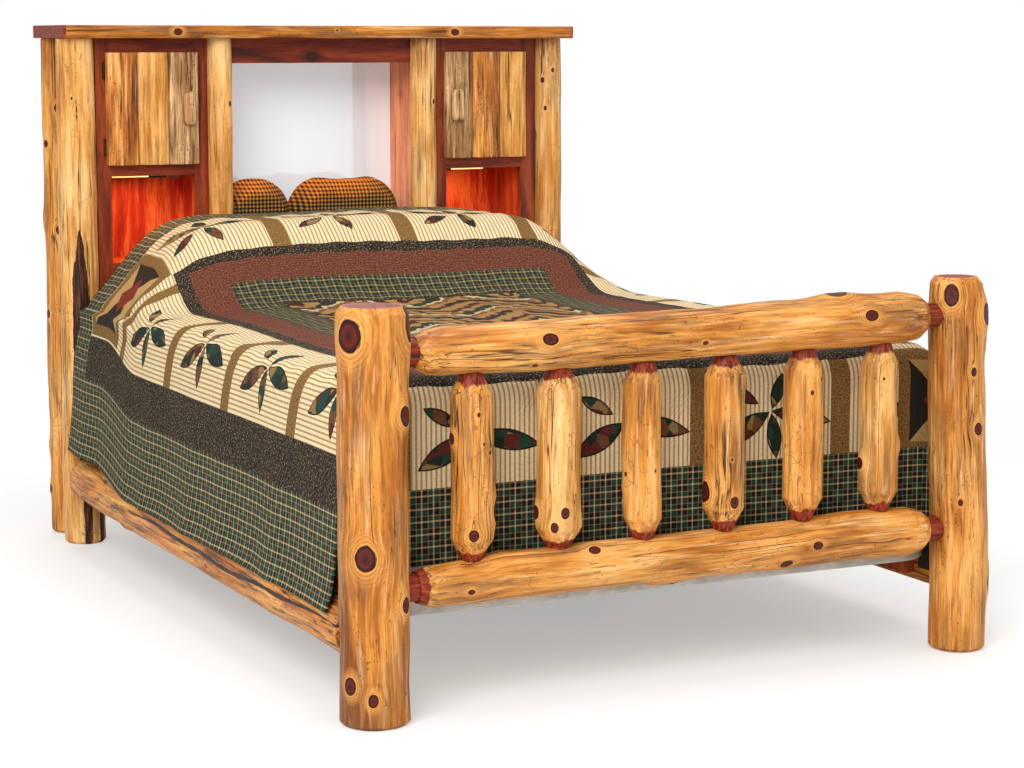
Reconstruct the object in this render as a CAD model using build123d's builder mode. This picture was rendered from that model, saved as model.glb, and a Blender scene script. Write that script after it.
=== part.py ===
from build123d import *
import os
from math import cos, radians, sin, sqrt

# Rustic log bed. Millimetres, +Z up, +Y from the footboard to the headboard, X across the bed.
# The origin is on the floor, under the middle of the bed.

# ---- Driving sizes: bedding ----
mattress_width = 1524
mattress_length = 2032
mattress_height = 292
mattress_corner = 70
mattress_edge = 60
box_spring_height = 228
box_spring_corner = 45
quilt_thickness = 8
quilt_crown = 3
quilt_stand_off = 52
quilt_rail_gap = 2
quilt_hem_z = 217
foot_drop_hem = 330
lower_pillow_share = 5 / 12
upper_pillow_share = 0.361
lower_pillow_depth = 480
upper_pillow_depth = 400
pillow_height = 124
pillow_taper = 95
pillow_corner = 110
pillow_face_corner = 40
pillow_parting = 12
cushion_width = {"left": 230, "right": 350}
cushion_height = 256
cushion_depth = 150
cushion_setback = 2
cushion_gap = 3
cushion_taper = 42
cushion_corner = 105
cushion_face_corner = 60

# The cover's side, hem upward: distance out from where it drops, depth below the mattress top.
quilt_flat_side = [(2, 322), (-10, 162), (-26, 82)]
quilt_raised_side = [(6, 302), (0, 202), (-18, 116), (-32, 72)]

# ---- Driving sizes: fits ----
seat = 0.2
soft_gap = 0.3
tenon_fit = 0.2
hinge_fit = 0.05

# ---- Driving sizes: layout ----
mattress_foot_gap = 11
mattress_head_gap = 7
mattress_side_gap = 13
foot_post_inset = 7.5
head_post_inset = 13

# ---- Driving sizes: footboard ----
foot_post_height = 908
foot_post_diameter = {"left": 158, "right": 138}
foot_post_taper = 3
post_top_chamfer = 13
post_foot_chamfer = 9
rail_tenon_diameter = 62
rail_tenon_depth = 62
rail_bore_run_out = 10
spindle_count = 6
spindle_end_gap = {"left": 238.5, "right": 231.5}
spindle_diameters = [94, 100, 88, 94, 92, 89]
spindle_tenon_diameter = 38
spindle_tenon_depth = 34
spindle_neck_diameter = 50
spindle_point_height = 28
spindle_shoulder_height = 20
spindle_shoulder_drop = 8
spindle_belly = 1.5

# A rail runs between the points short of the two posts. Each station is its share of the way
# from left to right, how far its axis has risen from the rail's height, and its radius.
rail_end_gap = {"left": 18, "right": 36}
top_rail_drop = 105
bottom_rail_height = 291
top_rail_shape = [
    (0, 0, 34), (0.02, 0, 48), (0.05, 0, 54), (0.231, 0, 56), (0.532, 4, 57), (0.76, 12, 60), (0.95, 16, 62),
    (1, 15, 44),
]
bottom_rail_shape = [
    (0, 0, 32), (0.04, 0, 42), (0.10, 0, 49), (0.208, -1, 54), (0.532, 7, 55), (0.833, 13, 59),
    (0.962, 11, 57), (1, 9, 40),
]

# How a footboard post sways: share of its height, and how far its axis is off its place in x and y.
foot_post_sway = {
    "left": [(0.01, 6, 0), (0.36, 7, -1), (0.7, 6, 0), (0.986, 6, 0)],
    "right": [(0.01, 5, 0), (0.25, 7, 0), (0.6, -7, 0), (0.986, -19, 0)],
}

# Knots on a log: direction round the log in degrees from +X, share of the log's height.
foot_post_knots = {
    "left": [(-150, 0.954), (-56, 0.747), (-127, 0.413), (-54, 0.294), (-153, 0.106), (60, 0.573)],
    "right": [(-77, 0.903), (-90, 0.754), (-96, 0.604), (-119, 0.407), (-37, 0.187), (110, 0.485)],
}
knot_radius = 24
knot_rise = 6

# ---- Driving sizes: side rails and slats ----
side_rail_depth = 60
side_rail_height = {"foot": 118, "head": 108}
side_rail_middle_z = 208
side_rail_end_length = 26
side_rail_end_scale = 0.74
side_rail_lap = 38
cope_gap = 1.2
cleat_lift = 3
cleat_width = 32
cleat_height = 30
slat_count = 10
slat_width = 89
slat_thickness = 19
slat_end_gap = 5
slat_first_inset = 60
hook_plate_thickness = 4
hook_plate_height = 80
hook_plate_on_rail = 90
hook_plate_in_post = 30

# ---- Driving sizes: headboard logs ----
head_post_height = 1471
front_post_diameter = {"left": (114, 108), "right": (96, 88)}
rear_post_diameter = {"left": (104, 96), "right": (102, 95)}
rear_post_offset = 176
rear_post_knots = {
    "left": [
        (-111, 0.863), (-157, 0.791), (-115, 0.62), (165, 0.638), (-166, 0.449), (165, 0.179), (-178, 0.09),
    ],
    "right": [(-40, 0.823), (15, 0.615), (60, 0.415), (-10, 0.163)],
}
half_log_width = {"left": 76, "right": 86}
half_log_depth = 46
cross_rail_diameter = 100
cross_rail_tenon_diameter = 56
cross_rail_tenon_depth = 44
cross_rail_point_length = 26
cross_rail_point_gap = 4
cross_rail_neck = 4
top_board_thickness = 37
top_board_depth = 324
top_board_front = 79
top_board_side_overhang = 52.5
top_board_edge = 4

# ---- Driving sizes: cabinets ----
frame_front_offset = 10
frame_thickness = 20
panel_thickness = 18
back_panel_thickness = 12
back_panel_offset = 225
nook_width = 640
inner_stile_width = 88
outer_stile_width = 41
carcass_bottom = 290
lower_rail_height = 34
niche_height = 253
middle_rail_height = 43
door_opening_height = 305
upper_rail_height = 51
middle_shelf_rise = 13
lower_panel_recess = 8
valance_height = 73
nook_floor_drop = 29
mirror_thickness = 5
mirror_bevel = 1.5

# ---- Driving sizes: doors and hinges ----
door_lap = 10
door_outer_lap = 13
slats_per_door = 3
door_slat_edge = 15
door_slat_crown = 27
batten_height = 40
batten_thickness = 15
batten_inset = 62
batten_end_gap = 14
handle_width = 39
handle_height = 101
handle_depth = 24
handle_inset = 35
handle_samples = 9
hinge_height = 50
hinge_inset = 52
hinge_leaf_width = 12
hinge_leaf_thickness = 1.5
knuckle_radius = 3.5
hinge_pin_radius = 1.5
knuckle_gap = 0.3
knuckle_side_gap = 0.4
leaf_relief = 0.6

# ---- Driving sizes: lamps ----
lamp_block_length = 52
lamp_tube_length = 119
lamp_width = 26
lamp_height = 22
lamp_plate_height = 5
lamp_tube_radius = 7.5
lamp_end_thickness = 5
lamp_edge = 2
lamp_setback = 34
lamp_outer_gap = 37
lamp_inner_gap = 59
grommet_radius = 15
grommet_lip = 3
grommet_thickness = 5
grommet_inset = 54
grommet_drop = 23

# ---- Places worked out from the sizes ----
sides = {"left": -1, "right": 1}
rail_inner_x = mattress_width / 2 + mattress_side_gap
foot_post_x = rail_inner_x - foot_post_inset
head_post_x = rail_inner_x - head_post_inset
foot_post_reach = foot_post_diameter["left"] / 2
front_post_reach = front_post_diameter["left"][0] / 2
mattress_room = mattress_foot_gap + mattress_length + mattress_head_gap
post_span = foot_post_reach + mattress_room + front_post_reach
bed_length = foot_post_reach + post_span + top_board_depth - top_board_front
foot_y = foot_post_reach - bed_length / 2
head_y = foot_y + post_span
rear_post_y = head_y + rear_post_offset

mattress_foot_y = foot_y + foot_post_reach + mattress_foot_gap
mattress_head_y = mattress_foot_y + mattress_length
mattress_mid_y = (mattress_foot_y + mattress_head_y) / 2
cleat_bottom = side_rail_middle_z - side_rail_height["foot"] / 2 + cleat_lift
cleat_top = cleat_bottom + cleat_height
slat_bottom = cleat_top + seat
slat_top = slat_bottom + slat_thickness
box_spring_bottom = slat_top + soft_gap
mattress_bottom = box_spring_bottom + box_spring_height + soft_gap
mattress_top = mattress_bottom + mattress_height

frame_front = head_y - frame_front_offset
frame_back = frame_front + frame_thickness
panel_front = frame_back + seat
back_panel_front = head_y + back_panel_offset
panel_back = back_panel_front - seat
nook_half = nook_width / 2
cabinet_inner_x = nook_half + panel_thickness
cabinet_outer_x = head_post_x - front_post_reach - seat
outer_panel_inner_x = cabinet_outer_x - panel_thickness
half_log_x = nook_half + panel_thickness / 2
opening_inner_x = nook_half + inner_stile_width
opening_outer_x = head_post_x - front_post_reach - outer_stile_width
door_opening_top = head_post_height - upper_rail_height
door_opening_bottom = door_opening_top - door_opening_height
niche_top = door_opening_bottom - middle_rail_height
niche_floor = niche_top - niche_height
middle_shelf_z = niche_top + middle_shelf_rise
nook_floor = niche_floor - nook_floor_drop
door_inner_x = opening_inner_x - door_lap
door_outer_x = opening_outer_x + door_outer_lap
door_slat_width = (door_outer_x - door_inner_x) / slats_per_door
door_bottom = door_opening_bottom - door_lap
door_top = door_opening_top + door_lap
hinge_y = frame_front - knuckle_radius - knuckle_gap
hinge_x = door_outer_x + knuckle_radius + knuckle_side_gap
frame_leaf_front = frame_front - seat - hinge_leaf_thickness
door_leaf_back = frame_leaf_front - knuckle_gap
door_back = door_leaf_back - hinge_leaf_thickness - seat


def box(x0, x1, y0, y1, z0, z1):
    """Adds a square-edged board between two opposite corners."""
    with Locations(((x0 + x1) / 2, (y0 + y1) / 2, (z0 + z1) / 2)):
        Box(abs(x1 - x0), abs(y1 - y0), abs(z1 - z0))


def side_box(side, x0, x1, y0, y1, z0, z1):
    """Adds a board on one side of the bed; x0 and x1 are measured out from the middle."""
    box(sides[side] * x0, sides[side] * x1, y0, y1, z0, z1)


def across(x, z):
    """The plane that cuts a footboard log square at x."""
    return Plane(origin=(x, foot_y, z), x_dir=(0, 1, 0), z_dir=(1, 0, 0))


def foot_post_axis(side, height):
    """Where a footboard post's axis is at a height: x, y."""
    sway = foot_post_sway[side]
    share = min(max(height / foot_post_height, sway[0][0]), sway[-1][0])
    for (share0, x0, y0), (share1, x1, y1) in zip(sway, sway[1:]):
        if share <= share1:
            part_way = (share - share0) / (share1 - share0)
            x = x0 + part_way * (x1 - x0)
            y = y0 + part_way * (y1 - y0)
            return sides[side] * foot_post_x + x, foot_y + y
    raise ValueError("the height lies off the post")


def rail_stations(shape, height):
    """A rail's stations in place: x, height of its axis, radius."""
    left = foot_post_axis("left", height)[0] + foot_post_diameter["left"] / 2 + rail_end_gap["left"]
    right = foot_post_axis("right", height)[0] - foot_post_diameter["right"] / 2 - rail_end_gap["right"]
    return [(left + share * (right - left), height + rise, radius) for share, rise, radius in shape]


def station_at(stations, x):
    """The axis height and the radius of a rail at x."""
    for (x0, z0, r0), (x1, z1, r1) in zip(stations, stations[1:]):
        if x0 <= x <= x1:
            share = (x - x0) / (x1 - x0)
            return z0 + share * (z1 - z0), r0 + share * (r1 - r0)
    raise ValueError("x lies off the rail")


def disc(plane, radius, x=0, y=0):
    """A round section of a log on a plane."""
    with BuildSketch(plane) as section:
        with Locations((x, y)):
            Circle(radius)
    return section.sketch


def trunk(x, y, levels):
    """Adds an upright log: a smooth loft through (height, sway in x, sway in y, diameter)."""
    loft([
        disc(Plane.XY.offset(z), diameter / 2, x + sway_x, y + sway_y)
        for z, sway_x, sway_y, diameter in levels
    ])


def frustum(x, y, z0, diameter0, z1, diameter1):
    """Adds an upright cone between two heights."""
    lower = disc(Plane.XY.offset(z0), diameter0 / 2, x, y)
    upper = disc(Plane.XY.offset(z1), diameter1 / 2, x, y)
    loft([lower, upper], ruled=True)


def knots(x, y, radius, height, places):
    """Adds the swollen collars of cut branches to an upright log."""
    reach = radius + knot_rise - knot_radius
    for angle, share in places:
        out_x = reach * cos(radians(angle))
        out_y = reach * sin(radians(angle))
        with Locations((x + out_x, y + out_y, share * height)):
            Sphere(knot_radius)


def save(part, name):
    part.label = name
    export_step(part, f"parts/{name}.step")


# ---- Footboard posts: upright logs with blind mortises for the two rails ----
rail_heights = {"top": foot_post_height - top_rail_drop, "bottom": bottom_rail_height}
rails = {
    "top": rail_stations(top_rail_shape, rail_heights["top"]),
    "bottom": rail_stations(bottom_rail_shape, rail_heights["bottom"]),
}
rail_ends = {name: {"left": stations[0], "right": stations[-1]} for name, stations in rails.items()}


def mortise_bottom_x(side, height):
    """Where a rail's mortise ends inside a footboard post."""
    surface = foot_post_axis(side, height)[0] - sides[side] * foot_post_diameter[side] / 2
    return surface + sides[side] * rail_tenon_depth


def footboard_post(side):
    diameter = foot_post_diameter[side]
    top = foot_post_height - post_top_chamfer
    top_diameter = diameter - foot_post_taper
    levels = [post_foot_chamfer, foot_post_height * 0.36, foot_post_height * 0.7, top]
    diameters = [diameter, diameter - 2, diameter + 1, top_diameter]
    axis = [foot_post_axis(side, z) for z in levels]
    with BuildPart() as post:
        trunk(0, 0, [(z, x, y, wide) for z, (x, y), wide in zip(levels, axis, diameters)])
        frustum(*axis[0], 0, diameter - 2 * post_foot_chamfer, post_foot_chamfer, diameter)
        frustum(*axis[-1], top, top_diameter, foot_post_height, top_diameter - 2 * post_top_chamfer)
        for angle, share in foot_post_knots[side]:
            knot_axis = foot_post_axis(side, share * foot_post_height)
            knots(*knot_axis, diameter / 2, foot_post_height, [(angle, share)])
        for rail, height in rail_heights.items():
            z = rail_ends[rail][side][1]
            mortise_end = across(mortise_bottom_x(side, height), z)
            mortise = disc(mortise_end, rail_tenon_diameter / 2 + tenon_fit)
            extrude(mortise, amount=-sides[side] * foot_post_x / 2, mode=Mode.SUBTRACT)
        cut_hook_slot(side, *foot_post_axis(side, side_rail_middle_z), 1, diameter / 2)
    return post.part


def hook_plate_x():
    """The outer face of a hook plate, flat on the inside of its side rail."""
    return rail_inner_x - seat


def hook_slot_depth(post_x, radius):
    """How far from a post's axis its surface lies where the hook plate goes in."""
    off_axis = hook_plate_x() - hook_plate_thickness / 2 - post_x
    return sqrt(radius**2 - off_axis**2)


def cut_hook_slot(side, post_x, post_y, facing, radius):
    """Cuts the slot of a side rail's hook plate; facing is +1 toward the headboard."""
    mouth = post_y + facing * (radius + knot_rise)
    bottom = post_y + facing * (hook_slot_depth(abs(post_x), radius) - hook_plate_in_post - seat)
    width = hook_plate_thickness + 2 * seat
    height = hook_plate_height + 2 * seat
    middle_x = sides[side] * (hook_plate_x() - hook_plate_thickness / 2)
    with Locations((middle_x, (mouth + bottom) / 2, side_rail_middle_z)):
        Box(width, abs(mouth - bottom), height, mode=Mode.SUBTRACT)


# ---- Footboard rails: crooked logs with pencil-pointed, tenoned ends ----
def footboard_rail(name):
    stations = rails[name]
    inward = 1 if name == "top" else -1
    with BuildPart() as rail:
        for (x0, z0, r0), (x1, z1, r1) in zip(stations, stations[1:]):
            loft([disc(across(x0, z0), r0), disc(across(x1, z1), r1)], ruled=True)
        for side in sides:
            x, z = rail_ends[name][side][:2]
            tenon_end = mortise_bottom_x(side, rail_heights[name]) - sides[side] * seat
            extrude(disc(across(x, z), rail_tenon_diameter / 2), amount=tenon_end - x)
        for spindle in range(spindle_count):
            x = spindle_x(spindle)
            surface = rail_surface(name, x)
            mouth = surface - inward * rail_bore_run_out
            bottom = surface + inward * (spindle_tenon_depth + 2 * seat)
            bore_radius = spindle_tenon_diameter / 2 + tenon_fit
            with Locations((x, foot_y, (mouth + bottom) / 2)):
                Cylinder(bore_radius, abs(bottom - mouth), mode=Mode.SUBTRACT)
    return rail.part


def spindle_x(number):
    first = spindle_end_gap["left"] - foot_post_x
    last = foot_post_x - spindle_end_gap["right"]
    return first + number * (last - first) / (spindle_count - 1)


def rail_surface(name, x):
    """The height of a rail's surface on the side of the spindles."""
    z, radius = station_at(rails[name], x)
    return z - radius if name == "top" else z + radius


# ---- Spindles: short peeled logs, pointed at both ends like a pencil ----
def footboard_spindle(number):
    x = spindle_x(number)
    radius = spindle_diameters[number] / 2
    tenon = spindle_tenon_diameter / 2
    neck = spindle_neck_diameter / 2
    low = max(rail_surface("bottom", x + reach) for reach in (-neck, neck)) + seat
    high = min(rail_surface("top", x + reach) for reach in (-neck, neck)) - seat
    shoulder = radius - spindle_shoulder_drop
    point = spindle_point_height
    barrel_low = low + point + spindle_shoulder_height
    barrel_high = high - point - spindle_shoulder_height
    with BuildPart() as spindle:
        with BuildSketch(Plane(origin=(x, foot_y, 0), x_dir=(1, 0, 0), z_dir=(0, -1, 0))):
            with BuildLine():
                lower = Polyline(
                    (0, low - spindle_tenon_depth), (tenon, low - spindle_tenon_depth), (tenon, low),
                    (neck, low), (shoulder, low + point), (radius, barrel_low),
                )
                upper = Polyline(
                    (radius, barrel_high), (shoulder, high - point), (neck, high),
                    (tenon, high), (tenon, high + spindle_tenon_depth), (0, high + spindle_tenon_depth),
                )
                ThreePointArc(lower @ 1, (radius + spindle_belly, (low + high) / 2), upper @ 0)
                Line(upper @ 1, lower @ 0)
            make_face()
        revolve(axis=Axis((x, foot_y, 0), (0, 0, 1)))
    return spindle.part


# ---- Headboard posts ----
def headboard_front_post(side):
    x = sides[side] * head_post_x
    base, top = front_post_diameter[side]
    with BuildPart() as post:
        trunk(x, head_y, [
            (post_foot_chamfer, 0, 0, base),
            (head_post_height * 0.4, 0, 0, (base * 0.6 + top * 0.4)),
            (head_post_height, 0, 0, top),
        ])
        frustum(x, head_y, 0, base - 2 * post_foot_chamfer, post_foot_chamfer, base)
        mortise_bottom = sides[side] * (head_post_x - base / 2 + cross_rail_tenon_depth)
        mouth = Plane(origin=(mortise_bottom, head_y, cross_rail_z), z_dir=(1, 0, 0))
        mortise = disc(mouth, cross_rail_tenon_diameter / 2 + tenon_fit)
        extrude(mortise, amount=-sides[side] * head_post_x / 2, mode=Mode.SUBTRACT)
        cut_hook_slot(side, head_post_x, head_y, -1, base / 2)
    return post.part


def headboard_rear_post(side):
    x = sides[side] * head_post_x
    base, top = rear_post_diameter[side]
    with BuildPart() as post:
        trunk(x, rear_post_y, [
            (post_foot_chamfer, 0, 0, base),
            (head_post_height * 0.35, sides[side] * 2, 2, base - 3),
            (head_post_height * 0.65, sides[side] * -1, 1, top + 3),
            (head_post_height, 0, 0, top),
        ])
        frustum(x, rear_post_y, 0, base - 2 * post_foot_chamfer, post_foot_chamfer, base)
        knots(x, rear_post_y, base / 2 - 3, head_post_height, rear_post_knots[side])
    return post.part


# ---- Cross rail under the cabinets, from front post to front post ----
cross_rail_z = carcass_bottom - cross_rail_diameter / 2 - seat


def headboard_cross_rail():
    point_end = head_post_x - front_post_reach - cross_rail_point_gap
    body_end = point_end - cross_rail_point_length
    with BuildPart() as rail:
        with Locations((0, head_y, cross_rail_z)):
            Cylinder(cross_rail_diameter / 2, 2 * body_end, rotation=(0, 90, 0))
        for side, sign in sides.items():
            tenon_end = head_post_x - front_post_diameter[side][0] / 2 + cross_rail_tenon_depth - seat
            body_face = Plane(origin=(sign * body_end, head_y, cross_rail_z), z_dir=(1, 0, 0))
            point_face = Plane(origin=(sign * point_end, head_y, cross_rail_z), z_dir=(1, 0, 0))
            wide = disc(body_face, cross_rail_diameter / 2)
            narrow = disc(point_face, cross_rail_tenon_diameter / 2 + cross_rail_neck)
            loft([wide, narrow], ruled=True)
            tenon = disc(point_face, cross_rail_tenon_diameter / 2)
            extrude(tenon, amount=sign * (tenon_end - point_end))
    return rail.part


def half_round(z, x, back, width, depth):
    """A split log's level section: flat at the back, round toward the footboard."""
    with BuildSketch(Plane.XY.offset(z)) as section:
        with Locations((x, back)):
            Ellipse(width / 2, depth)
        with Locations((x, back + depth)):
            Rectangle(2 * width, 2 * depth, mode=Mode.SUBTRACT)
    return section.sketch


# ---- Half logs that cover the joint between each cabinet and the mirror nook ----
def headboard_half_log(side):
    x = sides[side] * half_log_x
    width = half_log_width[side]
    levels = ((carcass_bottom, 1.0), (head_post_height * 0.6, 0.99), (head_post_height, 0.95))
    with BuildPart() as log:
        loft([
            half_round(z, x, frame_front - seat, width * share, half_log_depth * share)
            for z, share in levels
        ], ruled=True)
    return log.part


# ---- Top board: one slab across all four posts ----
def top_board():
    half = head_post_x + top_board_side_overhang
    bottom = head_post_height + seat
    with BuildPart() as board:
        box(-half, half, head_y - top_board_front, head_y - top_board_front + top_board_depth,
            bottom, bottom + top_board_thickness)
        chamfer(board.edges().filter_by(Axis.X).sort_by(Axis.Y)[:2], top_board_edge)
    return board.part


# ---- Face frames, panels and shelves of the two cabinets and the nook between them ----
def stile_outer_x(side):
    """The face frame runs up to the front post's side."""
    return head_post_x - front_post_diameter[side][0] / 2 - seat


def face_frame_stiles():
    with BuildPart() as stiles:
        for side in sides:
            side_box(side, nook_half, opening_inner_x, frame_front, frame_back,
                     carcass_bottom, head_post_height)
            side_box(side, opening_outer_x, stile_outer_x(side), frame_front, frame_back,
                     carcass_bottom, head_post_height)
    return stiles.part


def face_frame_rails():
    spans = [
        (niche_floor - lower_rail_height, niche_floor),
        (niche_top, door_opening_bottom),
        (door_opening_top, head_post_height),
    ]
    with BuildPart() as cross_pieces:
        for side in sides:
            for low, high in spans:
                side_box(side, opening_inner_x + seat, opening_outer_x - seat,
                         frame_front, frame_back, low, high)
    return cross_pieces.part


def cabinet_outer_sides():
    with BuildPart() as panels:
        for side in sides:
            side_box(side, outer_panel_inner_x, cabinet_outer_x, panel_front, panel_back,
                     carcass_bottom, head_post_height)
    return panels.part


def cabinet_inner_sides():
    with BuildPart() as panels:
        for side in sides:
            side_box(side, nook_half, cabinet_inner_x, panel_front, panel_back,
                     carcass_bottom, head_post_height)
    return panels.part


def cabinet_shelves(bottom):
    with BuildPart() as shelves:
        for side in sides:
            side_box(side, cabinet_inner_x + seat, outer_panel_inner_x - seat, panel_front, panel_back,
                     bottom, bottom + panel_thickness)
    return shelves.part


def cabinet_lower_panels():
    with BuildPart() as panels:
        for side in sides:
            side_box(side, opening_inner_x + seat, opening_outer_x - seat,
                     frame_front + lower_panel_recess, frame_back,
                     carcass_bottom, niche_floor - lower_rail_height - seat)
    return panels.part


def back_panel():
    back = back_panel_front + back_panel_thickness
    with BuildPart() as panel:
        box(-cabinet_outer_x, cabinet_outer_x, back_panel_front, back, carcass_bottom, head_post_height)
        for sign in sides.values():
            with Locations((sign * grommet_x, back, grommet_z)):
                Cylinder(grommet_radius - grommet_lip, 4 * back_panel_thickness,
                         rotation=(90, 0, 0), mode=Mode.SUBTRACT)
    return panel.part


def valance():
    with BuildPart() as board:
        box(-nook_half + seat, nook_half - seat, frame_front, frame_back,
            head_post_height - valance_height, head_post_height)
    return board.part


def nook_shelf():
    with BuildPart() as shelf:
        box(-nook_half + seat, nook_half - seat, frame_front, panel_back,
            nook_floor - panel_thickness, nook_floor)
    return shelf.part


def nook_front_panel():
    with BuildPart() as panel:
        box(-nook_half + seat, nook_half - seat, frame_front, frame_back,
            carcass_bottom, nook_floor - panel_thickness - seat)
    return panel.part


def mirror_glass():
    with BuildPart() as glass:
        box(-nook_half + seat, nook_half - seat, panel_back - mirror_thickness, panel_back,
            nook_floor + seat, head_post_height)
        chamfer(glass.edges().filter_by(Axis.Z).sort_by(Axis.Y)[:2], mirror_bevel)
    return glass.part


# ---- Doors: three split-log slats on two battens, with a split-log handle ----
def door_slats(side):
    with BuildPart() as slats:
        for number in range(slats_per_door):
            x0 = door_inner_x + number * door_slat_width + seat / 2
            x1 = x0 + door_slat_width - seat
            left, right = sorted((sides[side] * x0, sides[side] * x1))
            with BuildSketch(Plane.XY.offset(door_bottom)):
                with BuildLine():
                    flat = Polyline(
                        (left, door_back - door_slat_edge), (left, door_back),
                        (right, door_back), (right, door_back - door_slat_edge),
                    )
                    ThreePointArc(flat @ 1, ((left + right) / 2, door_back - door_slat_crown), flat @ 0)
                make_face()
            extrude(amount=door_top - door_bottom)
    return slats.part


def door_battens(side):
    with BuildPart() as battens:
        for middle in (door_bottom + batten_inset, door_top - batten_inset):
            side_box(side, opening_inner_x + batten_end_gap, opening_outer_x - batten_end_gap,
                     door_back + seat, door_back + seat + batten_thickness,
                     middle - batten_height / 2, middle + batten_height / 2)
    return battens.part


def slat_face_y(x):
    """The front of a door slat's round face at x, measured out from the bed's middle."""
    number = int((x - door_inner_x) // door_slat_width)
    half = (door_slat_width - seat) / 2
    middle = door_inner_x + (number + 0.5) * door_slat_width
    rise = door_slat_crown - door_slat_edge
    radius = (half**2 + rise**2) / (2 * rise)
    centre_y = door_back - door_slat_crown + radius
    return centre_y - sqrt(radius**2 - (x - middle) ** 2)


def door_handle(side):
    reach = door_inner_x + handle_inset
    middle_z = (door_bottom + door_top) / 2
    samples = [step / (handle_samples - 1) - 0.5 for step in range(handle_samples)]
    back = min(slat_face_y(reach + share * handle_width) for share in samples) - seat
    levels = ((-0.5, 1.0), (0, 0.97), (0.5, 0.8))
    with BuildPart() as handle:
        loft([
            half_round(middle_z + rise * handle_height, sides[side] * reach, back,
                       handle_width * share, handle_depth * share)
            for rise, share in levels
        ], ruled=True)
    return handle.part


# ---- Butt hinges: both leaves fold flat behind the door's outer edge ----
def hinge_heights():
    return (door_bottom + hinge_inset, door_top - hinge_inset)


def knuckle(side, low, high):
    """Adds one knuckle of a hinge."""
    ring = disc(Plane.XY.offset(low), knuckle_radius, sides[side] * hinge_x, hinge_y)
    extrude(ring, amount=high - low)


def knuckle_bore(side, middle):
    """Bores a hinge for its pin."""
    with Locations((sides[side] * hinge_x, hinge_y, middle)):
        Cylinder(hinge_pin_radius + hinge_fit, 2 * hinge_height, mode=Mode.SUBTRACT)


def leaf(side, front, back, low, high, knuckles):
    """Adds a hinge leaf; it reaches the pin only where it has a knuckle, from bottom to top."""
    root_x = hinge_x - knuckle_radius
    side_box(side, root_x - hinge_leaf_width, root_x - leaf_relief, front, back, low, high)
    for bottom, top in knuckles:
        side_box(side, root_x - leaf_relief, hinge_x, front, back, bottom, top)
        knuckle(side, bottom, top)


def hinge_frame_leaves():
    third = hinge_height / 3
    with BuildPart() as leaves:
        for side in sides:
            for middle in hinge_heights():
                low, high = middle - hinge_height / 2, middle + hinge_height / 2
                leaf(side, frame_leaf_front, frame_leaf_front + hinge_leaf_thickness, low, high,
                     ((low, low + third), (high - third, high)))
                knuckle_bore(side, middle)
    return leaves.part


def door_hinge_leaves(side):
    third = hinge_height / 3
    with BuildPart() as leaves:
        for middle in hinge_heights():
            low, high = middle - hinge_height / 2, middle + hinge_height / 2
            leaf(side, door_leaf_back - hinge_leaf_thickness, door_leaf_back, low, high,
                 ((low + third + knuckle_gap, high - third - knuckle_gap),))
            knuckle_bore(side, middle)
    return leaves.part


def hinge_pins():
    with BuildPart() as pins:
        for sign in sides.values():
            for middle in hinge_heights():
                with Locations((sign * hinge_x, hinge_y, middle)):
                    Cylinder(hinge_pin_radius, hinge_height)
    return pins.part


# ---- Reading lamps under the niche ceilings ----
lamp_ceiling = middle_shelf_z - seat
lamp_front = frame_back + lamp_setback
lamp_length = lamp_block_length + lamp_tube_length
lamp_inner_x = {
    "left": outer_panel_inner_x - lamp_outer_gap - lamp_length,
    "right": cabinet_inner_x + lamp_inner_gap,
}


def lamp_base(side):
    """A thin plate with a switch block at its inner end and a stop at its outer end."""
    inner = lamp_inner_x[side]
    block_outer = inner + lamp_block_length
    outer = inner + lamp_length
    lamp_back = lamp_front + lamp_width
    foot = lamp_ceiling - lamp_height
    with BuildPart() as base:
        side_box(side, inner, outer, lamp_front, lamp_back, lamp_ceiling - lamp_plate_height, lamp_ceiling)
        side_box(side, inner, block_outer, lamp_front, lamp_back, foot, lamp_ceiling)
        side_box(side, outer - lamp_end_thickness, outer, lamp_front, lamp_back, foot, lamp_ceiling)
        fillet(base.edges().group_by(Axis.Z)[0].filter_by(Axis.X), lamp_edge)
    return base.part


def lamp_tube(side):
    start = lamp_inner_x[side] + lamp_block_length + seat
    end = lamp_inner_x[side] + lamp_length - lamp_end_thickness - seat
    z = lamp_ceiling - lamp_plate_height - seat - lamp_tube_radius
    with BuildPart() as tube:
        with Locations((sides[side] * (start + end) / 2, lamp_front + lamp_width / 2, z)):
            Cylinder(lamp_tube_radius, end - start, rotation=(0, 90, 0))
    return tube.part


# ---- Closed cable grommets in the back panel ----
grommet_x = cabinet_inner_x + grommet_inset
grommet_z = middle_shelf_z - grommet_drop


def cable_grommets():
    face = back_panel_front - seat
    neck_radius = grommet_radius - grommet_lip - seat
    with BuildPart() as grommets:
        for sign in sides.values():
            with Locations((sign * grommet_x, face - grommet_thickness / 2, grommet_z)):
                Cylinder(grommet_radius, grommet_thickness, rotation=(90, 0, 0))
            with Locations((sign * grommet_x, face + back_panel_thickness / 2, grommet_z)):
                Cylinder(neck_radius, back_panel_thickness, rotation=(90, 0, 0))
    return grommets.part


# ---- Side rails: half logs, flat side in, coped to the footboard post ----
side_rail_foot_y = foot_y + foot_post_diameter["right"] / 2 - side_rail_lap
side_rail_head_y = head_y - front_post_reach - seat


def half_ellipse(side, y, height, scale):
    """A side rail's section at y: flat inside, round outside."""
    centre = (sides[side] * rail_inner_x, y, side_rail_middle_z)
    with BuildSketch(Plane(origin=centre, x_dir=(1, 0, 0), z_dir=(0, -1, 0))) as section:
        Ellipse(side_rail_depth * scale, height / 2 * scale)
        with Locations((-sides[side] * side_rail_depth, 0)):
            Rectangle(2 * side_rail_depth, 2 * height, mode=Mode.SUBTRACT)
    return section.sketch


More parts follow.
